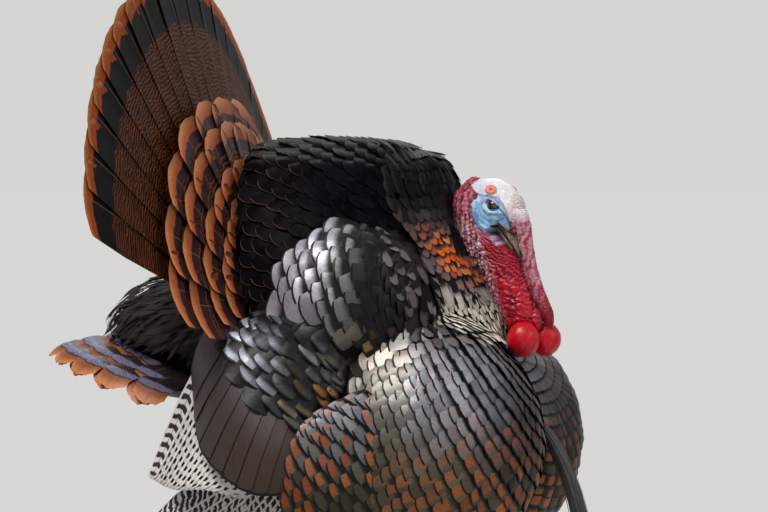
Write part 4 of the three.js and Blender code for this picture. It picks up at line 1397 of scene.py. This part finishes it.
def outline_mask(x, y, outline, soft):
    """1 inside a closed outline, fading over `soft` each way, and the depth inside its edge."""
    best = np.full(len(x), 1e9)
    inside = np.zeros(len(x), bool)
    for (x0, y0), (x1, y1) in zip(outline, outline[1:] + outline[:1]):
        best = np.minimum(best, off_line(x, y, [(x0, y0), (x1, y1)]))
        if y0 != y1:
            inside ^= ((y0 > y) != (y1 > y)) & (x < (x1 - x0) * (y - y0) / (y1 - y0) + x0)
    depth = np.where(inside, best, -best)
    return smooth(depth, -soft, soft), depth


def off_line(x, y, points):
    """How far each place is from a line through points."""
    best = np.full(len(x), 1e9)
    for (x0, y0), (x1, y1) in zip(points, points[1:]):
        dx, dy = x1 - x0, y1 - y0
        t = clip01(((x - x0) * dx + (y - y0) * dy) / (dx * dx + dy * dy))
        best = np.minimum(best, np.hypot(x - x0 - t * dx, y - y0 - t * dy))
    return best


def crease_at(x, y, points, width):
    return 1 - smooth(off_line(x, y, points), width * 0.35, width)


def eye_frame(points, side):
    """Place around one eye: along the lids, across them, and how far out."""
    a, l, u = head_place(points)
    da, du = a - EYE_LOCAL[0], u - EYE_LOCAL[2]
    along = da * math.cos(EYE_TILT) - du * math.sin(EYE_TILT)
    across = da * math.sin(EYE_TILT) + du * math.cos(EYE_TILT)
    return along, across, l * side


# outlines on one side of the head: across is 0.72 of the way ahead less 0.69 of the way out
FACE = [(-20.4, 12.4), (-8.7, 10.2), (-1.5, 8.4), (4, 2.4), (8, -6), (11.5, -16), (13.2, -26.5),
        (5, -27), (-1, -23), (-6, -24), (-8.7, -30), (-15, -28.5), (-22, -23), (-26.5, -15.3),
        (-29, -7.2), (-29.6, 1), (-26, 6.5)]
CROWN = [(-29.5, 21), (-24, 14.5), (-20, 12.6), (-8.7, 10.4), (-1.5, 8.8), (4.4, 2.8), (8.6, -5.8),
         (12.4, -16), (19, -20), (30, -16), (60, -15), (60, 60), (-12, 60), (-12, 33), (-20.4, 28.4)]
LILAC = [(-10, -24), (-2, -24.5), (3, -32), (3, -41), (-3, -43), (-8, -36), (-14, -29)]
EYE_FRONT_CREASE = [(0.5, -3), (4, -6.5), (7.5, -11), (11, -18), (13, -25.5)]
FACE_CREASES = [
    [(-20, 9.5), (-12, 9.6), (-5, 9)],
    [(-17, 4), (-18, -4), (-12, -10.5), (-2, -9), (5, -11)],
    [(-24, 4), (-25, -6), (-21, -15), (-14, -21), (-8, -22)],
    [(-21, 2), (-21.5, -6), (-17, -14), (-9, -17)],
    [(-4, -22), (0, -16), (5, -13.5)], [(-10, -20), (-7, -26), (-9, -30)],
    [(-26.5, -9), (-22, -19), (-15, -26)],
]


def sculpt_head(co, normals):
    """Folds, beads and lids as a move of the smooth head's surface, and the colour of each place."""
    a, l, u = head_place(co)
    wide = np.abs(l)
    g = 0.72 * a - 0.694 * wide
    n = len(co)
    big = wave_noise(co, 9, 21)
    mid = wave_noise(co, 4, 22)
    fine = wave_noise(co, 2.1, 23)
    warp = np.stack([wave_noise(co, 6, seed) for seed in (61, 62, 63)], -1)

    # regions, each from 0 to 1
    t = np.linspace(0, 1, 240)
    snood_line = catmull(head_line(SNOOD_LOCAL))(t)
    snood_near = chunked_nearest(co, snood_line)
    snood_far = np.linalg.norm(co - snood_line[snood_near], axis=1)
    snood_t = t[snood_near]
    balls = np.zeros(n)
    for side, radius in BALL_RADII:
        far = np.linalg.norm((co - BALL_AT - ASIDE * (BALL_ASIDE * side)) / (1, 1, BALL_HIGH), axis=1)
        balls = np.maximum(balls, 1 - smooth(far, radius + 0.5, radius + 2.6))
    snood = (1 - smooth(snood_far, 8.6, 10.0)) * smooth(-u, 13, 21) * (1 - balls)
    crown, _ = outline_mask(g + 0.5 * mid, u + 0.5 * big, CROWN, 0.8)
    crown = crown * smooth(a, -29, -24) * (1 - snood)
    face, depth = outline_mask(g + 0.3 * mid, u + 0.3 * mid, FACE, 0.6)
    face = face * smooth(wide, 7, 10) * smooth(a, -26, -21) * (1 - crown) * (1 - snood)
    lilac, _ = outline_mask(g, u, LILAC, 1.6)
    lilac = lilac * smooth(wide, 6, 10) * (1 - face)
    rest = clip01(1 - crown - face - snood - balls)
    edge = np.interp(-u, [-30, -13, -4, 10, 24, 33, 45, 62, 83, 100, 127],
                     [-10, -21, -29, -31, -28, -20, -20, -12, -4, 2, 9])
    beaded = np.maximum(1 - smooth(g - edge + 1.5 * mid, -2.5, 2.5), 1 - smooth(-u, 24, 30))
    beaded = rest * np.maximum(beaded, 1 - smooth(wide + 0.9 * a + 0.2 * u, -22, -14)) * (1 - lilac)
    low = smooth(-u, 74, 90)
    folds = clip01(rest - beaded) * (1 - lilac)

    # crown: pebbles, and short wrinkles across the forehead
    peb = beads(co + warp, 3.2, 5)
    brow = smooth(g, 11, 17) * smooth(-u, -18, -10) * (1 - smooth(-u, 15, 22)) * crown
    wrinkle = np.cos((u * 0.95 - g * 0.12 + 2.2 * big) / 3.6 * 2 * math.pi) * smooth(mid, -0.7, 0.1)
    height = crown * (0.3 * peb + 0.25 * mid) - 0.55 * brow * clip01(wrinkle)
    # face: smooth and puffed between creases
    creases = np.zeros(n)
    for points in FACE_CREASES:
        crease = crease_at(g + 0.9 * mid, u + 0.9 * fine, points, 1.6)
        creases = np.maximum(creases, crease * (0.65 + 0.35 * mid))
    front_crease = crease_at(g, u, EYE_FRONT_CREASE, 1.3) * smooth(wide, 6, 9)
    rim = bump_at(depth, -0.4, 1.3) * smooth(-g - 0.3 * u, 2, 8) * smooth(-u, -4, 2)
    rim = rim * smooth(wide, 7, 10)
    height += face * (0.35 * smooth(depth, 0, 4) + 0.15 * fine - 0.8 * creases)
    height -= 0.7 * front_crease + 0.9 * rim * smooth(a, -26, -21)
    # back of the head and neck: uneven beads
    bead = np.maximum(beads(co + 1.1 * warp, 4.7, 8, 0.66), 0.75 * beads(co - 0.8 * warp, 3.1, 9, 0.6))
    height += (beaded + lilac) * 1.7 * bead
    # neck: folds from the back down to the front, steep near the bill, rounded lumps lower down
    slope = np.interp(-u, [40, 52, 85], [1.0, 0.85, 0.34])
    place = -u - slope * (g + 8) + 3.4 * big + 1.1 * mid
    period = np.interp(-u, [40, 60, 90], [5.6, 5.2, 6.2])
    fold = 0.5 + 0.5 * np.cos(place / period * 2 * math.pi)
    fold = fold * (0.6 + 0.4 * smooth(mid + big, -0.9, 0.5))
    first, _ = cells(co * (1, 1, 1.5) + 1.8 * warp, 10.5, 12)
    lumps = clip01(1 - (first / 0.74) ** 2) ** 0.6
    raised = lerp(fold ** 0.8, 0.25 * fold + 0.8 * lumps, low)
    height += folds * (1.9 + 1.3 * low) * raised
    # snood: small uneven knots and lengthwise streaks
    knots = np.maximum(beads(co + warp, 3.4, 15), 0.7 * beads(co, 2.4, 16))
    streak = wave_noise(co * (1, 1, 0.35) + 2.0 * warp, 2.6, 24)
    height += snood * (0.75 * knots + 0.35 * mid)
    height += balls * (0.25 * big + 0.9 * smooth(u, -134, -126) * lumps)

    # wart over the eye, the bare ear, and two larger beads below the face
    off = np.hypot((g + 7.8 + 5 * (l > 0)) / 1.22, u - 16.4)
    wart = (1 - smooth(off, 4.0, 5.6)) * smooth(wide, 5, 9)
    height += wart * (3.0 - 1.3 * bump_at(off, 0, 1.5) + 0.3 * mid)
    ear = (1 - smooth(np.hypot((g + 25.6) / 0.8, u - 9.6), 2.2, 4.2)) * smooth(wide, 9, 13)
    height -= 0.8 * ear
    pearls = np.zeros(n)
    for at_g, at_u, size in ((-20.9, -43.2, 3.2), (-16.4, -51.5, 2.9)):
        far = np.hypot(g - at_g, u - at_u) / size
        pearls = np.maximum(pearls, np.sqrt(clip01(1 - far ** 2)) * smooth(wide, 9, 13))
    height += pearls * 2.0
    # room for the eyes behind their lids
    around = np.zeros(n)
    for side in (RIGHT, LEFT):
        along, across, out = eye_frame(co, side)
        almond = np.hypot(along / EYE_OPEN[0], across / EYE_OPEN[1])
        near_eye = smooth(out, 8, 12)
        height += near_eye * (1.0 * bump_at(almond, 1.75, 0.5) - 7.0 * (1 - smooth(almond, 0.85, 1.3)))
        around = np.maximum(around, near_eye * (1 - smooth(almond, 1.9, 2.6)))

    # the bill pushes out between the cheeks
    s = (a - 8) * 0.547 - (u + 19) * 0.837
    q = (a - 8) * 0.837 + (u + 19) * 0.547
    room = np.interp(s, [0, 11, 24, 34, 42], [8.4, 7.0, 5.0, 2.6, 0.6])
    low_edge = np.interp(s, [5, 20, 36], [-9, -6.2, -3])
    pinch = smooth(s, 1.5, 5.0) * smooth(q, low_edge - 1.4, low_edge + 1.4) * (1 - smooth(q, 5.4, 7.6))
    pinch = pinch * (1 - smooth(s, 44, 48))
    pull = np.clip(wide - room, 0, None) * pinch
    gape = crease_at(g, u, [(-8.6, -22.4), (-5, -21.6), (-1, -23.5)], 1.5) * smooth(wide, 7, 10)
    height = height * (1 - pinch) - 0.8 * gape

    # colours
    white = tone(rgb(190, 192, 200), rgb(228, 230, 234), clip01(0.45 + 0.35 * peb + 0.3 * big))
    white = tone(white, rgb(178, 190, 208), smooth(-g, 4, 20) * 0.55)
    white = tone(white, rgb(222, 212, 204), smooth(g, 8, 18) * (1 - smooth(g, 24, 30)) * 0.4)
    white = tone(white, rgb(186, 124, 124), clip01(brow * clip01(wrinkle)) * 0.85)
    white = tone(white, rgb(192, 168, 186), smooth(-u, 8, 17) * smooth(g, 8, 14) * 0.7)
    sky = tone(rgb(136, 192, 230), rgb(186, 220, 242), smooth(mid + 0.5 * big, -0.8, 0.8))
    sky = tone(sky, rgb(176, 182, 214), around * smooth(u, 0, 5) * 0.7)
    sky = tone(sky, rgb(72, 134, 206), clip01(smooth(-g, 17, 25) * smooth(-u, 0, 10)) * 0.5)
    # painted shade: a darker blue down the face's creases
    sky = tone(sky, rgb(48, 104, 190), clip01(creases) * 0.75)
    pale = tone(rgb(214, 132, 152), rgb(232, 194, 204),
                smooth(-u + 8 * mid, 2, 30) * (1 - smooth(-u, 70, 100)))
    pale = tone(pale, rgb(186, 66, 84), smooth(u + 5 * mid, 4, 18) * 0.75)
    # the nape's beads: light pink on their tops, dark crimson between them, partly painted highlight and
    # shade
    deep = tone(rgb(78, 12, 30), rgb(124, 24, 48), smooth(big, -0.8, 0.8))
    nape = tone(deep, pale, clip01(1.25 * bead ** 1.4 - 0.15 + 0.25 * fine))
    ridge = tone(rgb(222, 116, 138), rgb(184, 14, 46), smooth(g - edge - 0.08 * u + 3 * mid, 4, 15))
    ridge = tone(ridge, rgb(198, 12, 42), smooth(-u, 66, 84) * smooth(g - edge, 0, 8))
    # dark in the grooves between the neck's folds: painted shade
    skin = tone(rgb(74, 0, 18), ridge, clip01(1.4 * raised - 0.1))
    skin = tone(skin, rgb(140, 4, 28), low * 0.35)
    # lilac lumps, darker between them: partly painted shade
    gum = tone(rgb(132, 74, 108), rgb(196, 188, 212), clip01(1.3 * bead - 0.1))
    knot = tone(rgb(150, 34, 58), rgb(208, 156, 172),
                clip01(0.55 + 0.7 * streak + 0.5 * (knots - 0.5)))
    knot = tone(knot, tone(rgb(108, 6, 26), rgb(172, 30, 54), knots),
                smooth(snood_t + 0.06 * mid, 0.42, 0.84))
    knot = tone(knot, rgb(200, 190, 206),
                (1 - smooth(snood_t, 0.1, 0.3)) * 0.55 * smooth(streak, -0.3, 0.4))
    color = tone(skin, nape, beaded)
    color = tone(color, gum, lilac)
    # painted shadow: a dark maroon line on the neck beside the snood
    groove = bump_at(snood_far, 10.6, 2.0) * smooth(-u, 26, 40) * (1 - snood) * (1 - balls)
    color = tone(color, rgb(70, 2, 18), groove * 0.7)
    color = tone(color, knot, snood)
    color = tone(color, sky, face)
    color = tone(color, white, crown)
    color = tone(color, tone(rgb(176, 0, 22), rgb(204, 4, 38), smooth(big, -0.8, 0.8)), balls)
    color = tone(color, tone(rgb(188, 66, 44), rgb(222, 140, 112), bump_at(off, 2.6, 1.6)), wart)
    color = tone(color, rgb(150, 60, 44), wart * bump_at(off, 0, 1.0) * 0.8)
    color = tone(color, rgb(84, 44, 48), ear)
    color = tone(color, rgb(204, 184, 198),
                 clip01(pearls * 1.4) * (1 - smooth(-u, 46, 50) * 0.5))
    # painted shade: dark navy down the crease before the eye and round the face's rim
    color = tone(color, rgb(26, 44, 92),
                 clip01(front_crease * 0.8 + rim * 0.75) * (1 - crown * 0.6))
    # painted shade at the gape and round the bill's root, where the cheeks are pushed out
    color = tone(color, rgb(30, 14, 22), clip01(gape + 0.9 * pinch))
    wet = clip01(0.75 * balls + 0.6 * low * folds + 0.3 * folds + 0.15 * snood)
    move = normals * height[:, None] - ASIDE * (np.sign(l) * pull)[:, None]
    return move, color, wet


def eye_lids(side):
    """The rim of skin round one eye: an almond opening drawn over the ball, with its own folds."""
    around, across = 96, 14
    turn = np.arange(around) / around * 2 * math.pi
    k = np.concatenate([[0.93, 0.97], np.linspace(1.0, 2.0, across - 2)])
    reach = np.array([6.2, 6.9] + [7.25, 7.6, 7.8, 7.7, 7.55, 7.75, 7.8, 7.6, 7.4, 7.2, 7.0, 6.8])
    along = EYE_OPEN[0] * np.cos(turn)
    lift = EYE_OPEN[1] * np.sin(turn) * (0.72 + 0.28 * np.sin(turn) ** 2)
    along, lift = along[:, None] * (1 + (k - 1) * 0.8), lift[:, None] * (1 + (k - 1) * 1.25)
    far = np.hypot(along, lift)
    out = EYE_LOCAL[1] + np.sqrt(np.maximum(reach ** 2 - far ** 2, 0.04))
    out = out - 0.25 * np.clip(far - 6.5, 0, None)
    out = out + 0.12 * np.sin(turn * 23)[:, None] * smooth(k, 1.05, 1.3)
    a = EYE_LOCAL[0] + along * math.cos(EYE_TILT) + lift * math.sin(EYE_TILT)
    u = EYE_LOCAL[2] - along * math.sin(EYE_TILT) + lift * math.cos(EYE_TILT)
    co = head_point(a, side * out, u).reshape(-1, 3)
    tris = []
    for i in range(around):
        for j in range(across - 1):
            p, q = i * across + j, ((i + 1) % around) * across + j
            if side == LEFT:
                tris += [(p, q, q + 1), (p, q + 1, p + 1)]
            else:
                tris += [(p, q + 1, q), (p, p + 1, q + 1)]
    above = smooth(np.sin(turn), -0.2, 0.5)[:, None, None]
    skin = lerp(rgb(112, 166, 208), rgb(166, 178, 210), above)
    color = skin * np.ones((around, across, 1))
    color = tone(color, rgb(46, 92, 168), bump_at(k, 1.42, 0.14)[None] * 0.6)
    color = tone(color, rgb(16, 12, 18), (1 - smooth(k, 1.0, 1.13))[None])
    return co, np.array(tris), color.reshape(-1, 3)


def chunked_nearest(points, path, size=4000):
    result = np.empty(len(points), int)
    for start in range(0, len(points), size):
        part = points[start:start + size]
        result[start:start + size] = ((part[:, None] - path[None]) ** 2).sum(-1).argmin(1)
    return result


# ------------------------------------------------------------------ legs
def leg_parts():
    """The shanks and feet, with a joint at each one's top that reaches up into the thigh."""
    parts = [node_arrays(f"{part}_{side}") for part in ("shank", "foot") for side in ("left", "right")]
    joint, tris = ball((0, 0, 0), (7, 7, 16))
    for co, _ in parts[:2]:
        top = co[co[:, 2] > co[:, 2].max() - 8].mean(0)
        parts.append((joint - HEAD_AT + top + vec(0, 0, 4), tris))
    return parts


def sculpt_legs(co, normals):
    """Broad shields down the front of each shank and over the toes, fine scales elsewhere."""
    x, y, z = co.T
    n = len(co)
    fine = beads(co, 2.4, 33, 0.7)
    shield = np.abs(((z + 0.25 * np.abs(np.abs(y) - 62)) / 6.0) % 1 - 0.5) * 2
    front = smooth(normals[:, 0], 0.25, 0.7) * smooth(z, 20, 30)
    foot_x, foot_y = -42, 62
    along = np.hypot(x - foot_x, np.abs(y) - foot_y)
    scute = np.abs((along / 4.2) % 1 - 0.5) * 2
    top = smooth(normals[:, 2], 0.2, 0.7) * (1 - smooth(z, 18, 28))
    groove = front * smooth(shield, 0.72, 0.95) + top * smooth(scute, 0.7, 0.95)
    rest = clip01(1 - front - top)
    on_floor = 1 - smooth(z, 0.6, 2.0)
    height = (-0.55 * groove + rest * 0.35 * fine) * (1 - on_floor)
    color = tone(rgb(150, 92, 84), rgb(186, 128, 112), clip01(0.5 + 0.5 * wave_noise(co, 25, 41)))
    color = tone(color, rgb(88, 54, 52), clip01(groove + rest * (1 - fine) * 0.7))
    return normals * height[:, None], color, np.full(n, 0.25)


# ------------------------------------------------------------------ one skin
COAT_DEPTH = 8.5


def build_skin():
    """The head, neck, body and legs as one mesh, with its own colours and wetness."""
    co, normals, tris = remeshed("body_skin", [node_arrays(name) for name in FLESH], 7.5, 8)
    pieces = [(co - normals * COAT_DEPTH, tris, np.tile(rgb(26, 22, 24), (len(co), 1)),
               np.zeros(len(co)))]
    for parts, voxel, relax, sculpt in ((head_parts(), 0.9, 6, sculpt_head),
                                        (leg_parts(), 1.5, 5, sculpt_legs)):
        co, normals, tris = remeshed("fine_skin", parts, voxel, relax)
        move, color, wet = sculpt(co, normals)
        co = co + move
        co[:, 2] = np.maximum(co[:, 2], 0)
        pieces.append((co, tris, color, wet))
    for side in (LEFT, RIGHT):
        co, tris, color = eye_lids(side)
        pieces.append((co, tris, color, np.full(len(co), 0.3)))
    mesh = face_mesh("skin", *joined([piece[:2] for piece in pieces]))
    set_colors(mesh, "paint", np.concatenate([piece[2] for piece in pieces]))
    set_values(mesh, "wet", np.concatenate([piece[3] for piece in pieces]))
    add_piece("skin", mesh, skin_material(), "wattle_skin", *FLESH, "head", "snood", "caruncle_left",
              "caruncle_right", "neck_bare", "shank_left", "shank_right", "foot_left", "foot_right")


def skin_material():
    n = Nodes("bare_skin")
    paint, wet = n.color_attribute("paint"), n.attribute("wet")
    place = n.object_place()
    mottled = n.noise(place, 420.0, detail=4.0)
    color = n.mix(n.ramp(mottled, 0.35, 0.75, 0.0, 0.35), paint,
                  n.mix(0.75, paint, (0.3, 0.01, 0.03), "MULTIPLY"))
    pores = n.cells(place, 900.0)
    color = n.mix(n.ramp(pores, 0.0, 0.35, 0.18, 0.0), color, (0.05, 0.01, 0.02))
    rough = n.math("MULTIPLY_ADD", wet, -0.36, 0.6)
    n.bump(n.add(n.mul(pores, 0.6), mottled), 0.35, 0.0006)
    return n.finish(Base_Color=color, Roughness=rough, Specular_IOR_Level=0.32, Subsurface_Weight=0.08,
                    Subsurface_Radius=(0.003, 0.001, 0.0008), Subsurface_Scale=0.4)


build_skin()


# ------------------------------------------------------------------ eyes, bill, beard, claws
def eye_material():
    """Dark brown iris with radial streaks round a black pupil, under a wet clear surface."""
    n = Nodes("eye_wet")
    off = n.attribute("from_pupil")
    streak = n.noise(n.object_place(), 2200.0, detail=3.0)
    iris = n.mix(n.ramp(streak, 0.3, 0.7), rgb(44, 22, 14), rgb(84, 46, 26))
    color = n.mix(n.ramp(off, 0.36, 0.41), (0.002, 0.002, 0.002), iris)
    color = n.mix(n.ramp(off, 0.7, 0.8), color, rgb(20, 14, 12))
    return n.finish(Base_Color=color, Roughness=0.06, Coat_Weight=1.0, Coat_Roughness=0.02)


def add_eye(side):
    word = WORD[side]
    low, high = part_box(f"eye_{word}")
    center = from_frame(np.array([(a + b) / 2 for a, b in zip(low, high)]))
    radius = min(b - a for a, b in zip(low, high)) / 2 / MM
    gaze = unit(ASIDE * side + AHEAD * 0.35 + UP * 0.02)
    co, tris = ball((0, 0, 0), (radius, radius, radius), 0, 20)
    way = unit(co - HEAD_AT)
    off = np.arccos(np.clip(way @ gaze, -1, 1))
    bulge = 1 + 0.05 * (1 - smooth(off, 0.0, 0.6))
    mesh = face_mesh(f"eyeball_{word}", center + way * radius * bulge[:, None], tris)
    set_values(mesh, "from_pupil", off)
    add_piece(f"eyeball_{word}", mesh, eye_coat, "eye", f"eye_{word}")


def horn_material(name, light, dark, ridges):
    """Horn: growth streaks along it and worn patches. ridges is how fine they are along X, Y, Z."""
    n = Nodes(name)
    place = n.object_place()
    split = n.new("ShaderNodeSeparateXYZ")
    n.wire(place, split.inputs[0])
    grain = n.noise(n.combine(*(n.mul(along, fine) for along, fine in zip(split.outputs, ridges))), 1.0,
                    detail=4.0)
    blotch = n.noise(place, 130.0, detail=3.0)
    color = n.mix(n.ramp(grain, 0.32, 0.68), rgb(*light), rgb(*dark))
    color = n.mix(n.ramp(blotch, 0.5, 0.7, 0.0, 0.45), color, rgb(*dark))
    n.bump(grain, 0.4, 0.0005)
    return n.finish(Base_Color=color, Roughness=n.math("MULTIPLY_ADD", blotch, 0.2, 0.32))


def hook(line, across_radii, deep_radii, under, around=20, steps=40):
    """A tapering curved horn, closed at both ends. under is how deep its underside is."""
    at = catmull(line)
    size = catmull([(a, b, 0) for a, b in zip(across_radii, deep_radii)])
    t = np.linspace(0, 1, steps)
    center, along = at(t), unit(at(t + 0.01) - at(t - 0.01))
    side = np.broadcast_to(ASIDE, along.shape)
    side = unit(side - (side * along).sum(-1, keepdims=True) * along)
    deep = np.cross(side, along)
    r = np.maximum(size(t), 0.12)
    turn = np.arange(around) / around * 2 * math.pi
    low = np.where(np.sin(turn) < 0, under, 1.0) * np.sin(turn)
    ring = (center[:, None] + side[:, None] * (np.cos(turn)[None, :, None] * r[:, :1, None])
            + deep[:, None] * (low[None, :, None] * r[:, 1:2, None]))
    quads, caps = sweep_faces(steps, around)
    return np.concatenate([ring.reshape(-1, 3), center[:1], center[-1:]]), quads + caps


def add_bill():
    upper = ((9, 0, -17), (16, 0, -25), (23, 0, -35), (28.5, 0, -44), (31, 0, -50), (31.2, 0, -54.5))
    lower = ((4, 0, -23), (11, 0, -31), (17.5, 0, -39), (23, 0, -45.5), (26, 0, -49))
    for name, line, across, deep, under in (
            ("bill_upper", upper, [10.5, 9, 7, 4.8, 3, 0.6], [7, 6.6, 5.4, 3.8, 2.4, 0.5], 0.5),
            ("bill_lower", lower, [9.5, 8, 6, 3.8, 1.2], [4, 4, 3.4, 2.4, 0.7], 0.9)):
        mesh = face_mesh(f"{name}_horn", *hook(head_line(line), across, deep, under))
        add_piece(f"{name}_horn", mesh, bill_coat, "bill", name)


def bristle_material():
    n = Nodes("beard_bristles")
    tint = n.color_attribute("tint")
    along = n.mul(n.attribute("from_tip"), 260.0)
    streak = n.noise(n.combine(along, n.mul(n.attribute("across"), 3000.0)), 1.0)
    color = n.mix(n.ramp(streak, 0.35, 0.7, 0.0, 0.6), tint, rgb(16, 15, 17))
    n.bump(streak, 0.3, 0.0003)
    return n.finish(Base_Color=color, Roughness=0.42, Specular_IOR_Level=0.6)


def add_beard():
    """A tuft of coarse hair-like bristles from the middle of the breast, lying over its own curve."""
    coat = Coat("beard_bristles", "beard", bristle_material())
    line = catmull([(140, 0, 320), (158, 0, 302), (174, 0, 280), (192, -1, 240), (205, -2, 190),
                    (210, -3, 140), (208, -4, 92)])
    count, rows, cols = 520, 16, 3
    local = np.random.default_rng(17)
    turn = local.uniform(0, 2 * math.pi, count)
    out = np.sqrt(local.uniform(0, 1, count))
    end = local.uniform(0.72, 1.03, count)
    s = np.linspace(0, 1, rows)
    t = s[None] * end[:, None]
    center = line(t)
    along = unit(line(t + 0.01) - line(t - 0.01))
    side = np.broadcast_to(vec(0, 1, 0), along.shape)
    deep = np.cross(along, side)
    wide = np.interp(t, [0, 0.2, 0.5, 0.8, 1], [6, 10, 13, 14, 15])
    thick = np.interp(t, [0, 0.2, 0.5, 0.8, 1], [4, 6, 7, 7, 6])
    wave = local.normal(0, 1.0, (count, 2))[:, None] * (s ** 1.5)[None, :, None] * 2.5
    center = (center + side * ((np.cos(turn) * out)[:, None] * wide + wave[..., 0])[..., None]
              + deep * ((np.sin(turn) * out)[:, None] * thick + wave[..., 1])[..., None])
    face = unit(np.cos(turn)[:, None, None] * side + np.sin(turn)[:, None, None] * deep)
    across = unit(np.cross(along, face))
    half = 0.62 * (1 - 0.7 * s ** 2)[None, :, None, None]
    u = vec(-1, 0, 1)[None, None, :, None]
    points = center[:, :, None] + across[:, :, None] * u * half
    points = points + face[:, :, None] * (0.35 * (1 - u ** 2)) * (1 - 0.5 * s)[None, :, None, None]
    shade = local.uniform(0, 1, count)
    tint = tone(rgb(36, 34, 37), rgb(112, 108, 110), shade ** 2)
    patch = np.stack([0.5 + 0.45 * np.cos(turn) * out, 0.5 + 0.45 * np.sin(turn) * out], -1)
    from_tip = (1 - s)[None, :, None] * 0.24 * np.ones((count, 1, cols))
    coat.add(points, u[..., 0] * 0.0006, from_tip, tint, patch)
    coat.build("beard")


eye_coat = eye_material()
bill_coat = horn_material("bill_horn", (150, 132, 116), (78, 66, 58), (900, 900, 140))
claw_coat = horn_material("claw_horn", (92, 78, 66), (34, 28, 25), (500, 500, 160))
for side in (LEFT, RIGHT):
    add_eye(side)
add_bill()
add_beard()
for name, obj in nodes.items():
    if name.startswith(("claw_", "spur_")):
        for slot in obj.material_slots:
            slot.material = claw_coat


# ------------------------------------------------------------------ stage, light and camera
VIEW = {"azimuth": 16.0, "elevation": 1.0, "distance": 14.0, "width": 0.8294, "aim": (-17.3, 485.0)}
SENSOR = 36.0
LIGHT_TARGET = Vector((0, 0, 0.4))


def stand_off(obj, target, azimuth, elevation, distance):
    """Stands a camera or lamp off from a target and turns it there. Azimuth 0 is the right side."""
    a, e = math.radians(azimuth), math.radians(elevation)
    back = Vector((math.sin(a) * math.cos(e), -math.cos(a) * math.cos(e), math.sin(e)))
    obj.location = target + back * distance
    obj.rotation_euler = (target - obj.location).to_track_quat("-Z", "Y").to_euler()


def add_camera():
    """The photo's camera. aim is in millimetres: along the picture, and up."""
    a = math.radians(VIEW["azimuth"])
    along, height = VIEW["aim"]
    target = Vector(((along * math.cos(a) + BIRD_X) * MM, along * math.sin(a) * MM, height * MM))
    data = bpy.data.cameras.new("camera")
    data.sensor_width = SENSOR
    data.lens = SENSOR * VIEW["distance"] / VIEW["width"]
    data.clip_end = 100
    camera = link("camera", data)
    stand_off(camera, target, VIEW["azimuth"], VIEW["elevation"], VIEW["distance"])
    bpy.context.scene.camera = camera


def add_light(name, azimuth, elevation, distance, size, power, color=(1, 1, 1)):
    data = bpy.data.lights.new(name, "AREA")
    data.shape = "DISK"
    data.size = size
    data.energy = power
    data.color = color
    stand_off(link(name, data), LIGHT_TARGET, azimuth, elevation, distance)


def floor_material():
    """Pale all over. Far from the bird the camera sees a plain pale backdrop, without shading."""
    n = Nodes("floor")
    rays = n.new("ShaderNodeLightPath").outputs
    seen = n.math("MAXIMUM", rays["Is Camera Ray"], rays["Is Glossy Ray"])
    seen = n.math("MAXIMUM", seen, rays["Is Transmission Ray"])
    reach = n.new("ShaderNodeVectorMath", operation="LENGTH")
    n.wire(n.object_place(), reach.inputs[0])
    far = n.mul(n.ramp(reach.outputs["Value"], 1.6, 5.0), seen)
    color = n.mix(far, (0.6, 0.59, 0.57), (0.0, 0.0, 0.0))
    return n.finish(Base_Color=color, Roughness=0.9, Specular_IOR_Level=0.1,
                    Emission_Color=(0.66, 0.655, 0.64, 1.0), Emission_Strength=far)


def add_stage():
    """A pale floor that curves up into a backdrop, all around."""
    flat, bend, top, ring_count = 40.0, 8.0, 60.0, 64
    profile = [(flat, 0.0)]
    profile += [(flat + bend * math.sin(t), bend - bend * math.cos(t))
                for t in np.linspace(0.1, math.pi / 2, 14)]
    profile += [(flat + bend, top)]
    bm = bmesh.new()
    turns = [k * 2 * math.pi / ring_count for k in range(ring_count)]
    loops = [[bm.verts.new((r * math.cos(t), r * math.sin(t), z)) for t in turns] for r, z in profile]
    bm.faces.new(loops[0])
    for lower, upper in zip(loops, loops[1:]):
        for k in range(ring_count):
            j = (k + 1) % ring_count
            bm.faces.new((lower[j], lower[k], upper[k], upper[j]))
    mesh = bpy.data.meshes.new("floor")
    bm.to_mesh(mesh)
    bm.free()
    shade_smooth(mesh)
    mesh.materials.append(floor_material())
    floor = link("floor", mesh)


add_stage()
add_camera()
add_light("key", -20, 58, 5.0, 2.2, 265, (1.0, 0.98, 0.95))
add_light("front", 75, 30, 6.0, 3.0, 80, (0.95, 0.97, 1.0))
add_light("rim", 190, 45, 5.0, 2.5, 90)
scene = bpy.context.scene
world = bpy.data.worlds.new("studio")
scene.world = world
world.use_nodes = True
sky = world.node_tree.nodes["Background"].inputs
sky["Color"].default_value = (0.9, 0.94, 1.0, 1)
sky["Strength"].default_value = 0.4
scene.view_settings.view_transform = "Standard"
scene.render.resolution_x = 768
scene.render.resolution_y = 512

bpy.context.view_layer.update()
